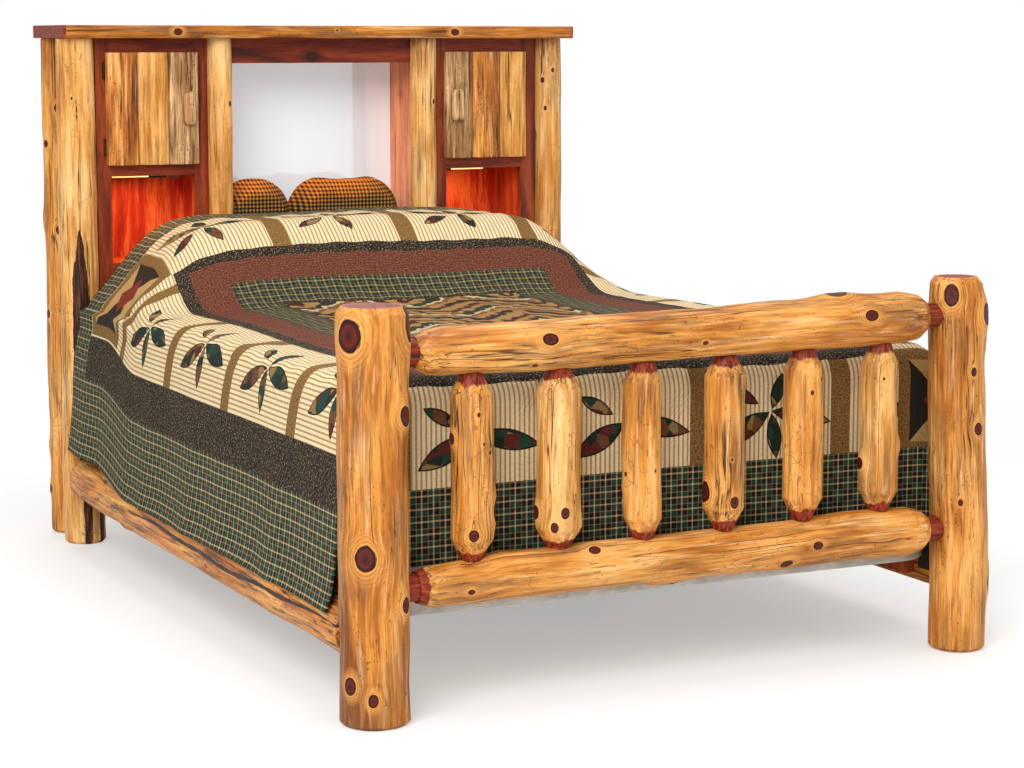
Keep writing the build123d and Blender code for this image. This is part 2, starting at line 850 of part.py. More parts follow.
def side_rail(side):
    foot_height = side_rail_height["foot"]
    head_height = side_rail_height["head"]
    with BuildPart() as rail:
        coped_end = half_ellipse(side, side_rail_foot_y, foot_height, 1)
        shoulder = half_ellipse(side, side_rail_head_y - side_rail_end_length, head_height, 1)
        tip = half_ellipse(side, side_rail_head_y, head_height, side_rail_end_scale)
        loft([coped_end, shoulder], ruled=True)
        loft([shoulder, tip], ruled=True)
        with Locations((*foot_post_axis(side, side_rail_middle_z), side_rail_middle_z)):
            Cylinder(foot_post_diameter[side] / 2 + cope_gap, 2 * foot_height, mode=Mode.SUBTRACT)
    return rail.part


def rail_cleats():
    start = mattress_foot_y + hook_plate_on_rail
    end = mattress_head_y - hook_plate_on_rail
    with BuildPart() as cleats:
        for side in sides:
            side_box(side, rail_inner_x - seat - cleat_width, rail_inner_x - seat, start, end,
                     cleat_bottom, cleat_top)
    return cleats.part


def rail_hook_plates():
    low = side_rail_middle_z - hook_plate_height / 2
    high = side_rail_middle_z + hook_plate_height / 2
    outer = hook_plate_x()
    inner = outer - hook_plate_thickness
    with BuildPart() as plates:
        for side in sides:
            post_x, post_y = foot_post_axis(side, side_rail_middle_z)
            foot_face = post_y + hook_slot_depth(abs(post_x), foot_post_diameter[side] / 2)
            head_face = head_y - hook_slot_depth(head_post_x, front_post_diameter[side][0] / 2)
            for face, facing in ((foot_face, 1), (head_face, -1)):
                side_box(side, inner, outer, face - facing * hook_plate_in_post,
                         face + facing * hook_plate_on_rail, low, high)
    return plates.part


def bed_slats():
    half = rail_inner_x - hook_plate_thickness - seat - slat_end_gap
    first = mattress_foot_y + hook_plate_on_rail + slat_first_inset
    last = mattress_head_y - hook_plate_on_rail - slat_first_inset
    pitch = (last - first) / (slat_count - 1)
    with BuildPart() as slats:
        for number in range(slat_count):
            middle = first + number * pitch
            box(-half, half, middle - slat_width / 2, middle + slat_width / 2, slat_bottom, slat_top)
    return slats.part


# ---- Bedding ----
def box_spring():
    with BuildPart() as base:
        with BuildSketch(Plane.XY.offset(box_spring_bottom)):
            with Locations((0, mattress_mid_y)):
                RectangleRounded(mattress_width, mattress_length, box_spring_corner)
        extrude(amount=box_spring_height)
    return base.part


def mattress():
    with BuildPart() as pad:
        with BuildSketch(Plane.XY.offset(mattress_bottom)):
            with Locations((0, mattress_mid_y)):
                RectangleRounded(mattress_width, mattress_length, mattress_corner)
        extrude(amount=mattress_height)
        fillet(pad.faces().sort_by(Axis.Z)[-1].edges(), mattress_edge)
    return pad.part


def pillow(side, width, depth, bottom):
    """A stuffed pillow: full size at half its height, drawn in at its two flat faces."""
    x = sides[side] * (pillow_parting + width / 2)
    y = mattress_head_y - depth / 2
    levels = (
        (bottom, pillow_taper, pillow_face_corner),
        (bottom + pillow_height / 2, 0, pillow_corner),
        (bottom + pillow_height, pillow_taper, pillow_face_corner),
    )
    with BuildPart() as cushion:
        for z, taper, corner in levels:
            with BuildSketch(Plane.XY.offset(z)):
                with Locations((x, y)):
                    RectangleRounded(width - 2 * taper, depth - 2 * taper, corner)
        loft(ruled=True)
    return cushion.part


def nook_cushion(side):
    """A plump cushion standing on the nook's shelf: drawn in at its front and back."""
    width = cushion_width[side]
    start = cushion_gap - nook_half
    if side == "right":
        start += cushion_width["left"] + cushion_gap
    x = start + width / 2
    z = nook_floor + soft_gap + cushion_height / 2
    front = frame_front + cushion_setback
    levels = (
        (front, cushion_taper, cushion_face_corner),
        (front + cushion_depth / 2, 0, cushion_corner),
        (front + cushion_depth, cushion_taper, cushion_face_corner),
    )
    with BuildPart() as pad:
        for y, taper, corner in levels:
            with BuildSketch(Plane(origin=(x, y, z), x_dir=(1, 0, 0), z_dir=(0, -1, 0))):
                RectangleRounded(width - 2 * taper, cushion_height - 2 * taper, corner)
        loft(ruled=True)
    return pad.part


lower_pillow_width = mattress_width * lower_pillow_share
upper_pillow_width = mattress_width * upper_pillow_share
lower_pillow_bottom = mattress_top + soft_gap
upper_pillow_bottom = lower_pillow_bottom + pillow_height + soft_gap
lower_pillow_edge = pillow_parting + lower_pillow_width
upper_pillow_edge = pillow_parting + upper_pillow_width

quilt_flat_top = mattress_top + soft_gap + quilt_thickness
quilt_hump_top = upper_pillow_bottom + pillow_height + soft_gap + quilt_thickness
quilt_drop_x = mattress_width / 2 + quilt_stand_off
quilt_hem_x = rail_inner_x + side_rail_depth + quilt_rail_gap + quilt_thickness


def quilt_corner(angle):
    """A point of the cover where it turns over the mattress's rounded top edge."""
    radius = (mattress_edge + soft_gap + quilt_thickness) / cos(radians(15))
    x = mattress_width / 2 - mattress_edge + radius * cos(radians(angle))
    z = mattress_top - mattress_edge + radius * sin(radians(angle))
    return x, z


def quilt_outline(hump):
    """Half of the cover's outer section, hem to middle; hump runs from 0, flat, to 1, over the pillows."""
    flat = [(quilt_hem_x, quilt_hem_z), (quilt_hem_x, quilt_hem_z + 34), (quilt_drop_x + 8, quilt_hem_z + 60)]
    flat += [(quilt_drop_x + out, mattress_top - drop) for out, drop in quilt_flat_side]
    flat += [
        quilt_corner(15), quilt_corner(45), quilt_corner(75),
        (quilt_drop_x - 214, quilt_flat_top + 0.5), (quilt_drop_x - 340, quilt_flat_top + 1),
        (0, quilt_flat_top + quilt_crown),
    ]
    full = [(quilt_hem_x, quilt_hem_z + 83), (quilt_hem_x - 12, quilt_hem_z + 100)]
    full += [(quilt_drop_x + out, mattress_top - drop) for out, drop in quilt_raised_side]
    full += [
        quilt_corner(15), quilt_corner(45), (lower_pillow_edge + 47, quilt_flat_top + 32),
        (upper_pillow_edge + 38, quilt_hump_top - 80), (upper_pillow_edge - 62, quilt_hump_top),
        (0, quilt_hump_top + quilt_crown),
    ]
    return [
        (x0 + hump * (x1 - x0), z0 + hump * (z1 - z0)) for (x0, z0), (x1, z1) in zip(flat, full)
    ]


def inset(points, distance):
    """Moves a hem-to-middle outline inward by the cover's thickness."""
    moved = []
    for number, (x, z) in enumerate(points):
        before = points[max(number - 1, 0)]
        after = points[min(number + 1, len(points) - 1)]
        run_x, run_z = after[0] - before[0], after[1] - before[1]
        length = sqrt(run_x**2 + run_z**2)
        moved.append((x - distance * run_z / length, z + distance * run_x / length))
    moved[0] = (moved[0][0], moved[0][1] - 3 * distance)
    return moved


def cover_section(y, points):
    """The full closed section whose right half is the given outline."""
    mirrored = [(-x, z) for x, z in reversed(points[:-1])]
    with BuildSketch(Plane(origin=(0, y, 0), x_dir=(1, 0, 0), z_dir=(0, -1, 0))) as section:
        with BuildLine():
            Polyline(points + mirrored, close=True)
        make_face()
    return section.sketch


def quilt():
    foot = mattress_foot_y - soft_gap - quilt_thickness
    lower_edge = mattress_head_y - lower_pillow_depth
    upper_edge = mattress_head_y - upper_pillow_depth
    stations = [
        (foot, 0.0), (lower_edge - pillow_taper, 0.0), (lower_edge - 5, 0.36),
        (upper_edge - 5, 0.85), (upper_edge + pillow_taper - 5, 1.0), (mattress_head_y, 1.0),
    ]
    with BuildPart() as cover:
        loft([cover_section(y, quilt_outline(hump)) for y, hump in stations], ruled=True)
        past_head = mattress_head_y + 2 * quilt_thickness
        inner = [(foot + quilt_thickness, 0.0)] + stations[1:-1] + [(past_head, 1.0)]
        loft([
            cover_section(y, inset(quilt_outline(hump), quilt_thickness)) for y, hump in inner
        ], ruled=True, mode=Mode.SUBTRACT)
        with Locations((0, foot, foot_drop_hem / 2)):
            Box(2 * mattress_width, 3 * quilt_thickness, foot_drop_hem, mode=Mode.SUBTRACT)
    return cover.part


# ---- Build and write every piece ----
def all_pieces():
    """Yields each piece's name and solid."""
    for side in sides:
        yield f"footboard_post_{side}", footboard_post(side)
    yield "footboard_top_rail", footboard_rail("top")
    yield "footboard_bottom_rail", footboard_rail("bottom")
    for number in range(spindle_count):
        yield f"footboard_spindle_{number + 1}", footboard_spindle(number)
    for side in sides:
        yield f"headboard_front_post_{side}", headboard_front_post(side)
        yield f"headboard_rear_post_{side}", headboard_rear_post(side)
        yield f"headboard_half_log_{side}", headboard_half_log(side)
    yield "headboard_cross_rail", headboard_cross_rail()
    yield "top_board", top_board()
    yield "valance", valance()
    yield "face_frame_stiles", face_frame_stiles()
    yield "face_frame_rails", face_frame_rails()
    yield "cabinet_outer_sides", cabinet_outer_sides()
    yield "cabinet_inner_sides", cabinet_inner_sides()
    yield "cabinet_middle_shelves", cabinet_shelves(middle_shelf_z)
    yield "cabinet_lower_shelves", cabinet_shelves(niche_floor - panel_thickness)
    yield "cabinet_bottoms", cabinet_shelves(carcass_bottom)
    yield "cabinet_lower_panels", cabinet_lower_panels()
    yield "back_panel", back_panel()
    yield "nook_shelf", nook_shelf()
    yield "nook_front_panel", nook_front_panel()
    yield "mirror_glass", mirror_glass()
    for side in sides:
        yield f"door_{side}_slats", door_slats(side)
        yield f"door_{side}_battens", door_battens(side)
        yield f"door_{side}_handle", door_handle(side)
        yield f"door_{side}_hinge_leaves", door_hinge_leaves(side)
        yield f"lamp_base_{side}", lamp_base(side)
        yield f"lamp_tube_{side}", lamp_tube(side)
        yield f"side_rail_{side}", side_rail(side)
        yield f"pillow_lower_{side}", pillow(
            side, lower_pillow_width, lower_pillow_depth, lower_pillow_bottom)
        yield f"pillow_upper_{side}", pillow(
            side, upper_pillow_width, upper_pillow_depth, upper_pillow_bottom)
        yield f"nook_cushion_{side}", nook_cushion(side)
    yield "hinge_frame_leaves", hinge_frame_leaves()
    yield "hinge_pins", hinge_pins()
    yield "cable_grommets", cable_grommets()
    yield "rail_cleats", rail_cleats()
    yield "rail_hook_plates", rail_hook_plates()
    yield "bed_slats", bed_slats()
    yield "box_spring", box_spring()
    yield "mattress", mattress()
    yield "quilt", quilt()


os.makedirs("parts", exist_ok=True)
for name, piece in all_pieces():
    save(piece, name)
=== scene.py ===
# %% [markdown]
# # A rustic log bed
# The bed is built around a measured frame: posts, rails, cabinets and bedding already have their
# true sizes there. This lesson gives them their surfaces. Peeled logs are never truly round, so
# they are new meshes worked out with numpy; sawn boards keep the frame's own solids and only get
# wood; the bedding is cloth, laid over the shapes it rests on.

# %% Load the frame
import math
from functools import partial

import bpy
import numpy as np
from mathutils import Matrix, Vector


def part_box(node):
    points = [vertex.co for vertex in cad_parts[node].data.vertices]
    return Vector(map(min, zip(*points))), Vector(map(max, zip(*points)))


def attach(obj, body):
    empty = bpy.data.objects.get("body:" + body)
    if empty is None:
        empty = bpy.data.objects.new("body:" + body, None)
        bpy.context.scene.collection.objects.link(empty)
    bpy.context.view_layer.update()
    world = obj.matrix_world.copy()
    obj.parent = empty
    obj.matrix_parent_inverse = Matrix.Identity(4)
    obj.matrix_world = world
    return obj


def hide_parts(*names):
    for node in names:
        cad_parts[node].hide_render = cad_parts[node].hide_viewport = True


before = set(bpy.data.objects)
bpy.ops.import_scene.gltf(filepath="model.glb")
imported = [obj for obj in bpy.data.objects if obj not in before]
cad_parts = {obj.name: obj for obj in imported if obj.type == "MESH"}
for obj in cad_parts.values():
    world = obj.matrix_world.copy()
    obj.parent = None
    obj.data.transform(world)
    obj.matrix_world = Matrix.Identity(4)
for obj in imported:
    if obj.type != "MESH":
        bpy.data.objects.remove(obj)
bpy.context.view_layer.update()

# %% [markdown]
# ## Colours and nodes
# Colours are given as sRGB hex values. Shaders work in linear light, so one function
# turns them round. Another adds a shader node with its settings and links. It is used for every
# kind of node, so a material reads as a list of what each step does. The rest are recipes made
# from it: a tint through a mask, noise drawn out along the grain, and marks on wood.

# %% Colour and node helpers
def linear(colour):
    """sRGB to linear: c/12.92 up to 0.04045, otherwise ((c + 0.055)/1.055) to the power 2.4."""
    c = np.array([int(colour[i:i + 2], 16) / 255 for i in (1, 3, 5)])
    c = np.where(c <= 0.04045, c / 12.92, ((c + 0.055) / 1.055) ** 2.4)
    return (*c.tolist(), 1.0)


def add(tree, kind, inputs=(), out=0, stops=(), step=False, **settings):
    """Adds a node; sets or links its inputs by name or number; stops are a ramp's places with a
    colour or a grey each, in steps where asked. Returns one of the node's outputs."""
    made = tree.nodes.new("ShaderNode" + kind)
    for key, value in settings.items():
        setattr(made, key, value)
    if stops:
        ramp = made.color_ramp
        ramp.interpolation = "CONSTANT" if step else "LINEAR"
        while len(ramp.elements) < len(stops):
            ramp.elements.new(1.0)
        for element, (place, colour) in zip(ramp.elements, stops):
            element.position = place
            element.color = linear(colour) if isinstance(colour, str) else (colour, colour, colour, 1)
    for key, value in dict(inputs).items():
        if isinstance(value, bpy.types.NodeSocket):
            tree.links.new(value, made.inputs[key])
        elif isinstance(value, str):
            made.inputs[key].default_value = linear(value)
        else:
            made.inputs[key].default_value = value
    return made.outputs[out]


def new_material(name, **surface):
    """A material whose Principled shader has these values, and the node adder for its tree."""
    material = bpy.data.materials.new(name)
    material.use_nodes = True
    shader = material.node_tree.nodes["Principled BSDF"]
    for key, value in surface.items():
        socket = shader.inputs[key.replace("_", " ")]
        socket.default_value = linear(value) if isinstance(value, str) else value
    return material, partial(add, material.node_tree)


def over(node, colour, tint, *masks):
    """Lays a tint over a colour: colour * (1 - m) + tint * m, where m is the masks' product."""
    mask = masks[0]
    for more in masks[1:]:
        mask = node("Math", {0: mask, 1: more}, operation="MULTIPLY")
    return node("Mix", {0: mask, 6: colour, 7: tint}, out=2, data_type="RGBA")


def drawn_out(node, place, stretch, scale, start=(0, 0, 0), **more):
    """Noise drawn out along z, the way of the grain: noise(scale * ((x, y, stretch * z) + start))."""
    run = node("Mapping", {"Vector": place, "Scale": (1, 1, stretch), "Location": start})
    return node("TexNoise", {"Vector": run, "Scale": scale, **more})


def dress(material, colour, height=None, depth=0.001):
    """Links a colour to the shader and, where given, a height as a bump of so many metres."""
    tree = material.node_tree
    shader = tree.nodes["Principled BSDF"]
    tree.links.new(colour, shader.inputs["Base Color"])
    if height is not None:
        bump = add(tree, "Bump", {"Height": height, "Distance": depth, "Strength": 1.0})
        tree.links.new(bump, shader.inputs["Normal"])
    return material


def mark(node, place, colour, height, layers):
    """Lays marks over a colour, one layer after another, and adds their depths to a height.
    Each layer is (stretch along the grain, noise scale, detail, mask stops, colour, depth, where),
    and where, if any, is (stretch, scale, stops) of a broader noise that says in which patches."""
    for stretch, scale, detail, stops, tint, depth, where in layers:
        grey = drawn_out(node, place, stretch, scale, Detail=detail, Roughness=0.6)
        mask = node("ValToRGB", {"Fac": grey}, stops=stops)
        if where:
            broad_stretch, broad_scale, broad_stops = where
            broad = drawn_out(node, place, broad_stretch, broad_scale, start=(3, 7, 1))
            patch = node("ValToRGB", {"Fac": broad}, stops=broad_stops)
            mask = node("Math", {0: mask, 1: patch}, operation="MULTIPLY")
        colour = over(node, colour, tint, mask)
        if depth:
            height = node("Math", {0: mask, 1: depth, 2: height}, operation="MULTIPLY_ADD")
    return colour, height


print("middle grey #808080 in linear light", round(linear("#808080")[0], 3))

# %% [markdown]
# ## Peeled, varnished log
# Juniper logs are peeled by hand, sanded lightly and varnished. The sapwood is honey coloured with
# brown streaks, beetle pin holes and long drying cracks; the heartwood inside is red-brown and
# shows wherever a log is cut to a point. Every log mesh carries four attributes that the material
# reads: `grain`, its own place in the log with the fibres bent round the knots; `knot`, the
# distance to the nearest knot in knot radii; `heart`, how much heartwood shows; and `tone`, how
# deep the varnish looks.

# %% The wood of a peeled log
def peeled_log(name, pale, honey, amber, streak, streaks=0.6, flecks=0.6, grey=0.6,
               reds=("#3A1006", "#7C2A14", "#A84428")):
    """Sapwood in three honey tones, marks, knots and heartwood; streaks, flecks and grey say how
    strong those marks are, from 0 to 1."""
    material, node = new_material(name, Roughness=0.48, Coat_Weight=0.03, Coat_Roughness=0.2,
                                  Specular_IOR_Level=0.20)
    grain = node("Attribute", out=1, attribute_name="grain")
    knot = node("Attribute", out=2, attribute_name="knot")
    heart = node("Attribute", out=2, attribute_name="heart")
    tone = node("Attribute", out=2, attribute_name="tone")

    # Three tones of sapwood: tone + 1.5 * (broad drift - 0.5) + 1.5 * (fibre noise - 0.5).
    drift = drawn_out(node, grain, 0.30, 12.0, Detail=3.0)
    fibre = drawn_out(node, grain, 0.07, 70.0, Detail=5.0, Roughness=0.65)
    base = node("Math", {0: drift, 1: 1.5, 2: tone}, operation="MULTIPLY_ADD")
    base = node("Math", {0: fibre, 1: 1.5, 2: base}, operation="MULTIPLY_ADD")
    base = node("Math", {0: base, 1: 1.5}, operation="SUBTRACT")
    colour = node("ValToRGB", {"Fac": base}, stops=[
        (0.10, pale), (0.38, honey), (0.66, amber), (0.95, streak)])

    # Fibres 2 to 3 mm apart. Marks cover the whole log, or only patches of it.
    hair = drawn_out(node, grain, 0.045, 330.0, Detail=4.0, Roughness=0.65)
    height = node("Math", {0: hair, 1: 0.35}, operation="MULTIPLY")
    weathered = (0.35, 9, [(0.47, 0.0), (0.57, 1.0)])
    rough = (0.4, 13, [(0.45, 0.0), (0.60, 1.0)])
    bored = (0.6, 16, [(0.50, 0.0), (0.60, 1.0)])
    dried = (0.30, 7, [(0.50, 0.0), (0.56, 1.0)])
    scraped = (0.8, 9, [(0.56, 0.0), (0.61, 1.0)])
    colour, height = mark(node, grain, colour, height, [
        # Brown and pale fibres, then brown streaks.
        (0.045, 330, 4, [(0.50, 0.0), (0.74, 0.7 * streaks)], streak, 0.0, None),
        (0.05, 90, 3, [(0.54, 0.0), (0.70, 0.35)], "#FFD9A6", 0.0, None),
        (0.06, 80, 3, [(0.52, 0.0), (0.66, 0.9 * streaks)], streak, -0.2, None),
        # Grey weathering with dark dashes, short flecks and beetle holes.
        (0.06, 70, 4, [(0.46, 0.0), (0.58, grey)], "#86603A", -0.2, weathered),
        (0.08, 170, 3, [(0.57, 0.0), (0.64, streaks)], "#452510", -0.8, weathered),
        (0.14, 150, 2, [(0.63, 0.0), (0.68, flecks)], "#4A240E", -0.9, rough),
        (0.60, 230, 0, [(0.74, 0.0), (0.77, flecks)], "#221008", -1.4, bored),
        # Long drying cracks, and scrapes that run across the grain too.
        (0.030, 24, 3, [(0.490, 0.0), (0.497, 0.9), (0.503, 0.9), (0.510, 0.0)], "#351B0C", -1.8, dried),
        (0.70, 30, 1, [(0.490, 0.0), (0.497, 0.6), (0.503, 0.6), (0.510, 0.0)], "#7A4420", -0.8, scraped),
    ])

    # A knot's collar: pale fibres in fine rings, 4 to 5 mm apart, pushed out by the branch.
    jag = drawn_out(node, grain, 0.22, 70.0, Detail=3.0, Roughness=0.6)
    wobble = node("Math", {0: jag, 1: 0.6, 2: knot}, operation="MULTIPLY_ADD")
    collar = node("MapRange", {"Value": wobble, "From Min": 2.7, "From Max": 1.6, "To Max": 0.6})
    rings = node("Math", {0: wobble, 1: 3.1}, operation="MULTIPLY")
    rings = node("Math", {0: rings}, operation="FRACT")
    rings = node("ValToRGB", {"Fac": rings}, stops=[(0.0, amber), (0.3, pale), (0.7, honey), (1.0, amber)])
    colour = over(node, colour, rings, collar)

    # Heartwood with flame-shaped edges, darker along the edge.
    edge = node("Math", {0: jag, 1: 1.3, 2: heart}, operation="MULTIPLY_ADD")
    red = drawn_out(node, grain, 0.06, 160.0, Detail=3.0)
    red = node("ValToRGB", {"Fac": red}, stops=list(zip((0.30, 0.50, 0.70), reds)))
    mask = node("MapRange", {"Value": edge, "From Min": 1.12, "From Max": 1.18})
    colour = over(node, colour, red, mask)
    rim = node("MapRange", {"Value": edge, "From Min": 1.04, "From Max": 1.12, "To Max": 0.6})
    rim = node("Math", {0: rim, 1: mask}, operation="SUBTRACT", use_clamp=True)
    colour = over(node, colour, "#5A200E", rim)

    # The cut face of a knot: dark red with a nearly black rim and a darker pith.
    face = node("Math", {0: wobble, 1: 0.75}, operation="MULTIPLY")
    face = node("ValToRGB", {"Fac": face}, stops=[
        (0.22, "#100402"), (0.38, "#431006"), (0.70, "#5A1A0A"), (0.86, "#300A04"), (0.96, "#100402")])
    mask = node("MapRange", {"Value": wobble, "From Min": 1.36, "From Max": 1.28})
    colour = over(node, colour, face, mask)
    return dress(material, colour, height, 0.0009)


log_wood = peeled_log("juniper log, peeled and varnished", "#E8AC60", "#D59040", "#B46C22", "#7A4216")
weathered_wood = peeled_log("juniper log, weathered side, varnished", "#E2A04E", "#CC7E2C", "#A05A1C",
                            "#4E280C", streaks=1.0, flecks=1.0, grey=0.1,
                            reds=("#120806", "#22100A", "#452412"))
pale_wood = peeled_log("young juniper log, varnished", "#EEC080", "#E0A256", "#C48236", "#8E5A24",
                       streaks=0.5, flecks=0.5, grey=0.5)
orange_wood = peeled_log("juniper slab, rough cut, varnished", "#EDB46C", "#D68E3E", "#A85E20", "#431C0A",
                         streaks=1.0, flecks=1.0, grey=0.3)
grey_wood = peeled_log("juniper slab, silvered, varnished", "#DEB484", "#B88A58", "#8C5C32", "#462A14",
                       streaks=1.0, flecks=0.8, grey=0.8)
split_wood = peeled_log("young juniper log, split and darkened", "#EEC080", "#E0A256", "#C48236", "#8E5A24",
                        streaks=0.5, flecks=0.5, grey=0.4, reds=("#120806", "#2E140C", "#6A3A20"))
print("log woods", [m.name for m in bpy.data.materials if m.name.startswith(("juniper", "young"))])

# %% [markdown]
# ## Red cedar boards
# The cabinets are planed red cedar, oiled and varnished. A board shows knots where branches were
# sawn through, and its grain runs round them. The boards keep the frame's solids, so the wood is
# worked out in the object's own coordinates, with the long way of the board as the grain.

# %% The wood of a cedar board
def cedar(name, along, through, dark, mid, light, knots=1.0, rear=None):
    """Planed red cedar; along is the axis of the grain, through the axis that the knots go along.
    rear, if any, is painted shade: it is multiplied over the faces that look backward, away from the lamps."""
    material, node = new_material(name, Roughness=0.5, Specular_IOR_Level=0.25)
    place = node("TexCoord", out=3)
    # Knots are the middles of Voronoi cells, drawn out along the grain and through the board.
    flat = [1.0, 1.0, 1.0]
    flat["xyz".index(through)] = 0.12
    flat["xyz".index(along)] = 0.62
    wide = node("Mapping", {"Vector": place, "Scale": tuple(flat)})
    cell = node("TexVoronoi", {"Vector": wide, "Scale": 5.2})
    nearest = node("TexVoronoi", {"Vector": wide, "Scale": 5.2}, out=2)
    away = node("VectorMath", {0: wide, 1: nearest}, operation="SUBTRACT")
    # Round a knot the fibres step aside by R*R/d, as water does round a pile.
    square = node("Math", {0: cell, 1: 2.0}, operation="POWER")
    square = node("Math", {0: square, 1: 0.004}, operation="ADD")
    push = node("Math", {0: 0.006 * knots, 1: square}, operation="DIVIDE")
    bent = node("VectorMath", {0: away, 1: push}, operation="MULTIPLY")
    bent = node("VectorMath", {0: place, 1: bent}, operation="SUBTRACT")
    thin = [1.0, 1.0, 1.0]
    thin["xyz".index(along)] = 0.10
    thin["xyz".index(through)] = 0.5
    grain = node("Mapping", {"Vector": bent, "Scale": tuple(thin)})
    band = node("TexNoise", {"Vector": grain, "Scale": 26.0, "Detail": 3.0, "Distortion": 0.6})
    fine = node("TexNoise", {"Vector": grain, "Scale": 260.0, "Detail": 3.0})
    base = node("Math", {0: fine, 1: 0.35, 2: band}, operation="MULTIPLY_ADD")
    colour = node("ValToRGB", {"Fac": base}, stops=[(0.48, dark), (0.64, mid), (0.80, light), (0.92, mid)])
    ring = node("MapRange", {"Value": cell, "From Min": 0.16, "From Max": 0.09, "To Max": 0.75 * knots})
    colour = over(node, colour, dark, ring)
    face = node("ValToRGB", {"Fac": cell}, stops=[(0.0, "#1E0906"), (0.04, "#3E140C"), (0.08, "#2A0D08")])
    hole = node("MapRange", {"Value": cell, "From Min": 0.085, "From Max": 0.070, "To Max": knots})
    colour = over(node, colour, face, hole)
    # Painted shade: faces that look backward, away from the lamps, get the rear tint multiplied over them.
    if rear:
        backward = node("SeparateXYZ", {0: node("NewGeometry", out=1)}, out=1)
        backward = node("Math", {0: backward, 1: 0.5}, operation="GREATER_THAN")
        shaded_rear = node("Mix", {0: 1.0, 6: colour, 7: rear}, out=2, data_type="RGBA", blend_type="MULTIPLY")
        colour = over(node, colour, shaded_rear, backward)
    return dress(material, colour, fine, 0.0003)


cedar_x = cedar("red cedar board, grain across", "x", "y", "#3E1206", "#6E240E", "#8C3818")
cedar_z = cedar("red cedar board, grain upright", "z", "y", "#44140A", "#74280F", "#92401C")
cedar_side = cedar("red cedar panel, planed", "z", "x", "#5A2010", "#8E3C1E", "#A8522C", knots=0.8)
# The inner sides face the nook lamps: their bright peach and orange is painted lamplight over the cedar's own
# red.
cedar_reveal = cedar("red cedar panel, with painted lamplight", "z", "x", "#C4603A", "#EC8C5C", "#FFA878", knots=0.7)
cedar_shelf = cedar("red cedar shelf, planed", "x", "z", "#7A2A12", "#A8441E", "#C05A2C", knots=0.6)
# The back panel's reds are the cedar's own colour, brightened with painted lamplight from the nook lamps on
# its front face.
cedar_back = cedar("red cedar back, with painted lamplight", "z", "y", "#8A2614", "#B23C22", "#D47A40", rear="#A88C78")
NODE_WOODS = {
    cedar_x: "valance face_frame_rails cabinet_lower_panels nook_front_panel",
    cedar_z: "face_frame_stiles",
    cedar_side: "cabinet_outer_sides",
    cedar_reveal: "cabinet_inner_sides",
    cedar_shelf: "cabinet_middle_shelves cabinet_lower_shelves cabinet_bottoms nook_shelf",
    cedar_back: "back_panel",
}


def wear(material, names):
    """Gives one material to the frame's own solids."""
    for name in names.split():
        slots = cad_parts[name].data.materials
        slots.clear()
        slots.append(material)


for wood, names in NODE_WOODS.items():
    wear(wood, names)
print("cedar on", sum(len(names.split()) for names in NODE_WOODS.values()), "nodes")

# %% [markdown]
# ## Meshes from grids
# A log is a ring of points carried along a line. All rings together are one array of points,
# rows along the log and columns round it, so the whole surface is worked out at once. The ends
# close on a single point each.

# %% Ring surfaces
def ring_faces(rows, columns):
    """Quads between neighbouring rings, and a fan of triangles from each end ring to its pole."""
    index = np.arange(rows * columns).reshape(rows, columns)
    after = np.roll(index, -1, axis=1)
    quads = np.stack([index[:-1], after[:-1], after[1:], index[1:]], axis=-1).reshape(-1, 4)
    first, last = rows * columns, rows * columns + 1
    low = np.stack([after[0], index[0], np.full(columns, first)], axis=-1)
    high = np.stack([index[-1], after[-1], np.full(columns, last)], axis=-1)
    return quads.tolist() + low.tolist() + high.tolist()


def mesh_object(name, points, faces, material, attributes=(), sharp=38):
    """Makes a smooth mesh object at the origin; attributes are (name, values), one value a point."""
    mesh = bpy.data.meshes.new(name)
    mesh.from_pydata(points.tolist(), [], faces)
    for key, values in dict(attributes).items():
        vector = values.ndim == 2
        layer = mesh.attributes.new(key, "FLOAT_VECTOR" if vector else "FLOAT", "POINT")
        layer.data.foreach_set("vector" if vector else "value", values.astype(np.float32).ravel())
    mesh.materials.append(material)
    mesh.shade_smooth()
    if sharp:
        mesh.set_sharp_from_angle(angle=math.radians(sharp))
    made = bpy.data.objects.new(name, mesh)
    bpy.context.scene.collection.objects.link(made)
    return made


def with_poles(grid):
    """Flattens a rows x columns array and adds the middle of the first and of the last ring."""
    flat = grid.reshape(-1, *grid.shape[2:])
    return np.concatenate([flat, grid[:1].mean(axis=1), grid[-1:].mean(axis=1)])


def even(points, count, closed=False):
    """Places count points evenly along a line of points: each is read off at an equal share of the
    running sum of the steps."""
    points = np.array(points, float)
    if closed:
        points = np.concatenate([points, points[:1]])
    run = np.concatenate([[0], np.cumsum(np.linalg.norm(np.diff(points, axis=0), axis=1))])
    at = np.linspace(0, run[-1], count, endpoint=not closed)
    return np.stack([np.interp(at, run, column) for column in points.T], axis=1)


print("5 rings of 8 points close with", len(ring_faces(5, 8)), "faces")

# %% [markdown]
# ## The shape of a log
# A profile says how thick a log is along its length. The unit ring decides what is carried along:
# a circle for a whole log, a half ellipse for a split one, a box for a plank.

# %% Profiles and rings
def profile(stations, step=0.004):
    """Points along a broken line of (place along the log, radius), at most one step apart."""
    stations = np.array(stations, float)
    parts = [stations[:1]]
    for a, b in zip(stations, stations[1:]):
        count = max(int(np.ceil(np.linalg.norm(b - a) / step)), 1)
        parts.append(a + (b - a) * (np.arange(1, count + 1) / count)[:, None])
    return np.concatenate(parts).T


def round_ring(columns=120):
    """A circle: (cos t, sin t). Every point may swell."""
    t = np.arange(columns) / columns * 2 * np.pi
    return np.stack([np.cos(t), np.sin(t)], axis=1), np.ones(columns)


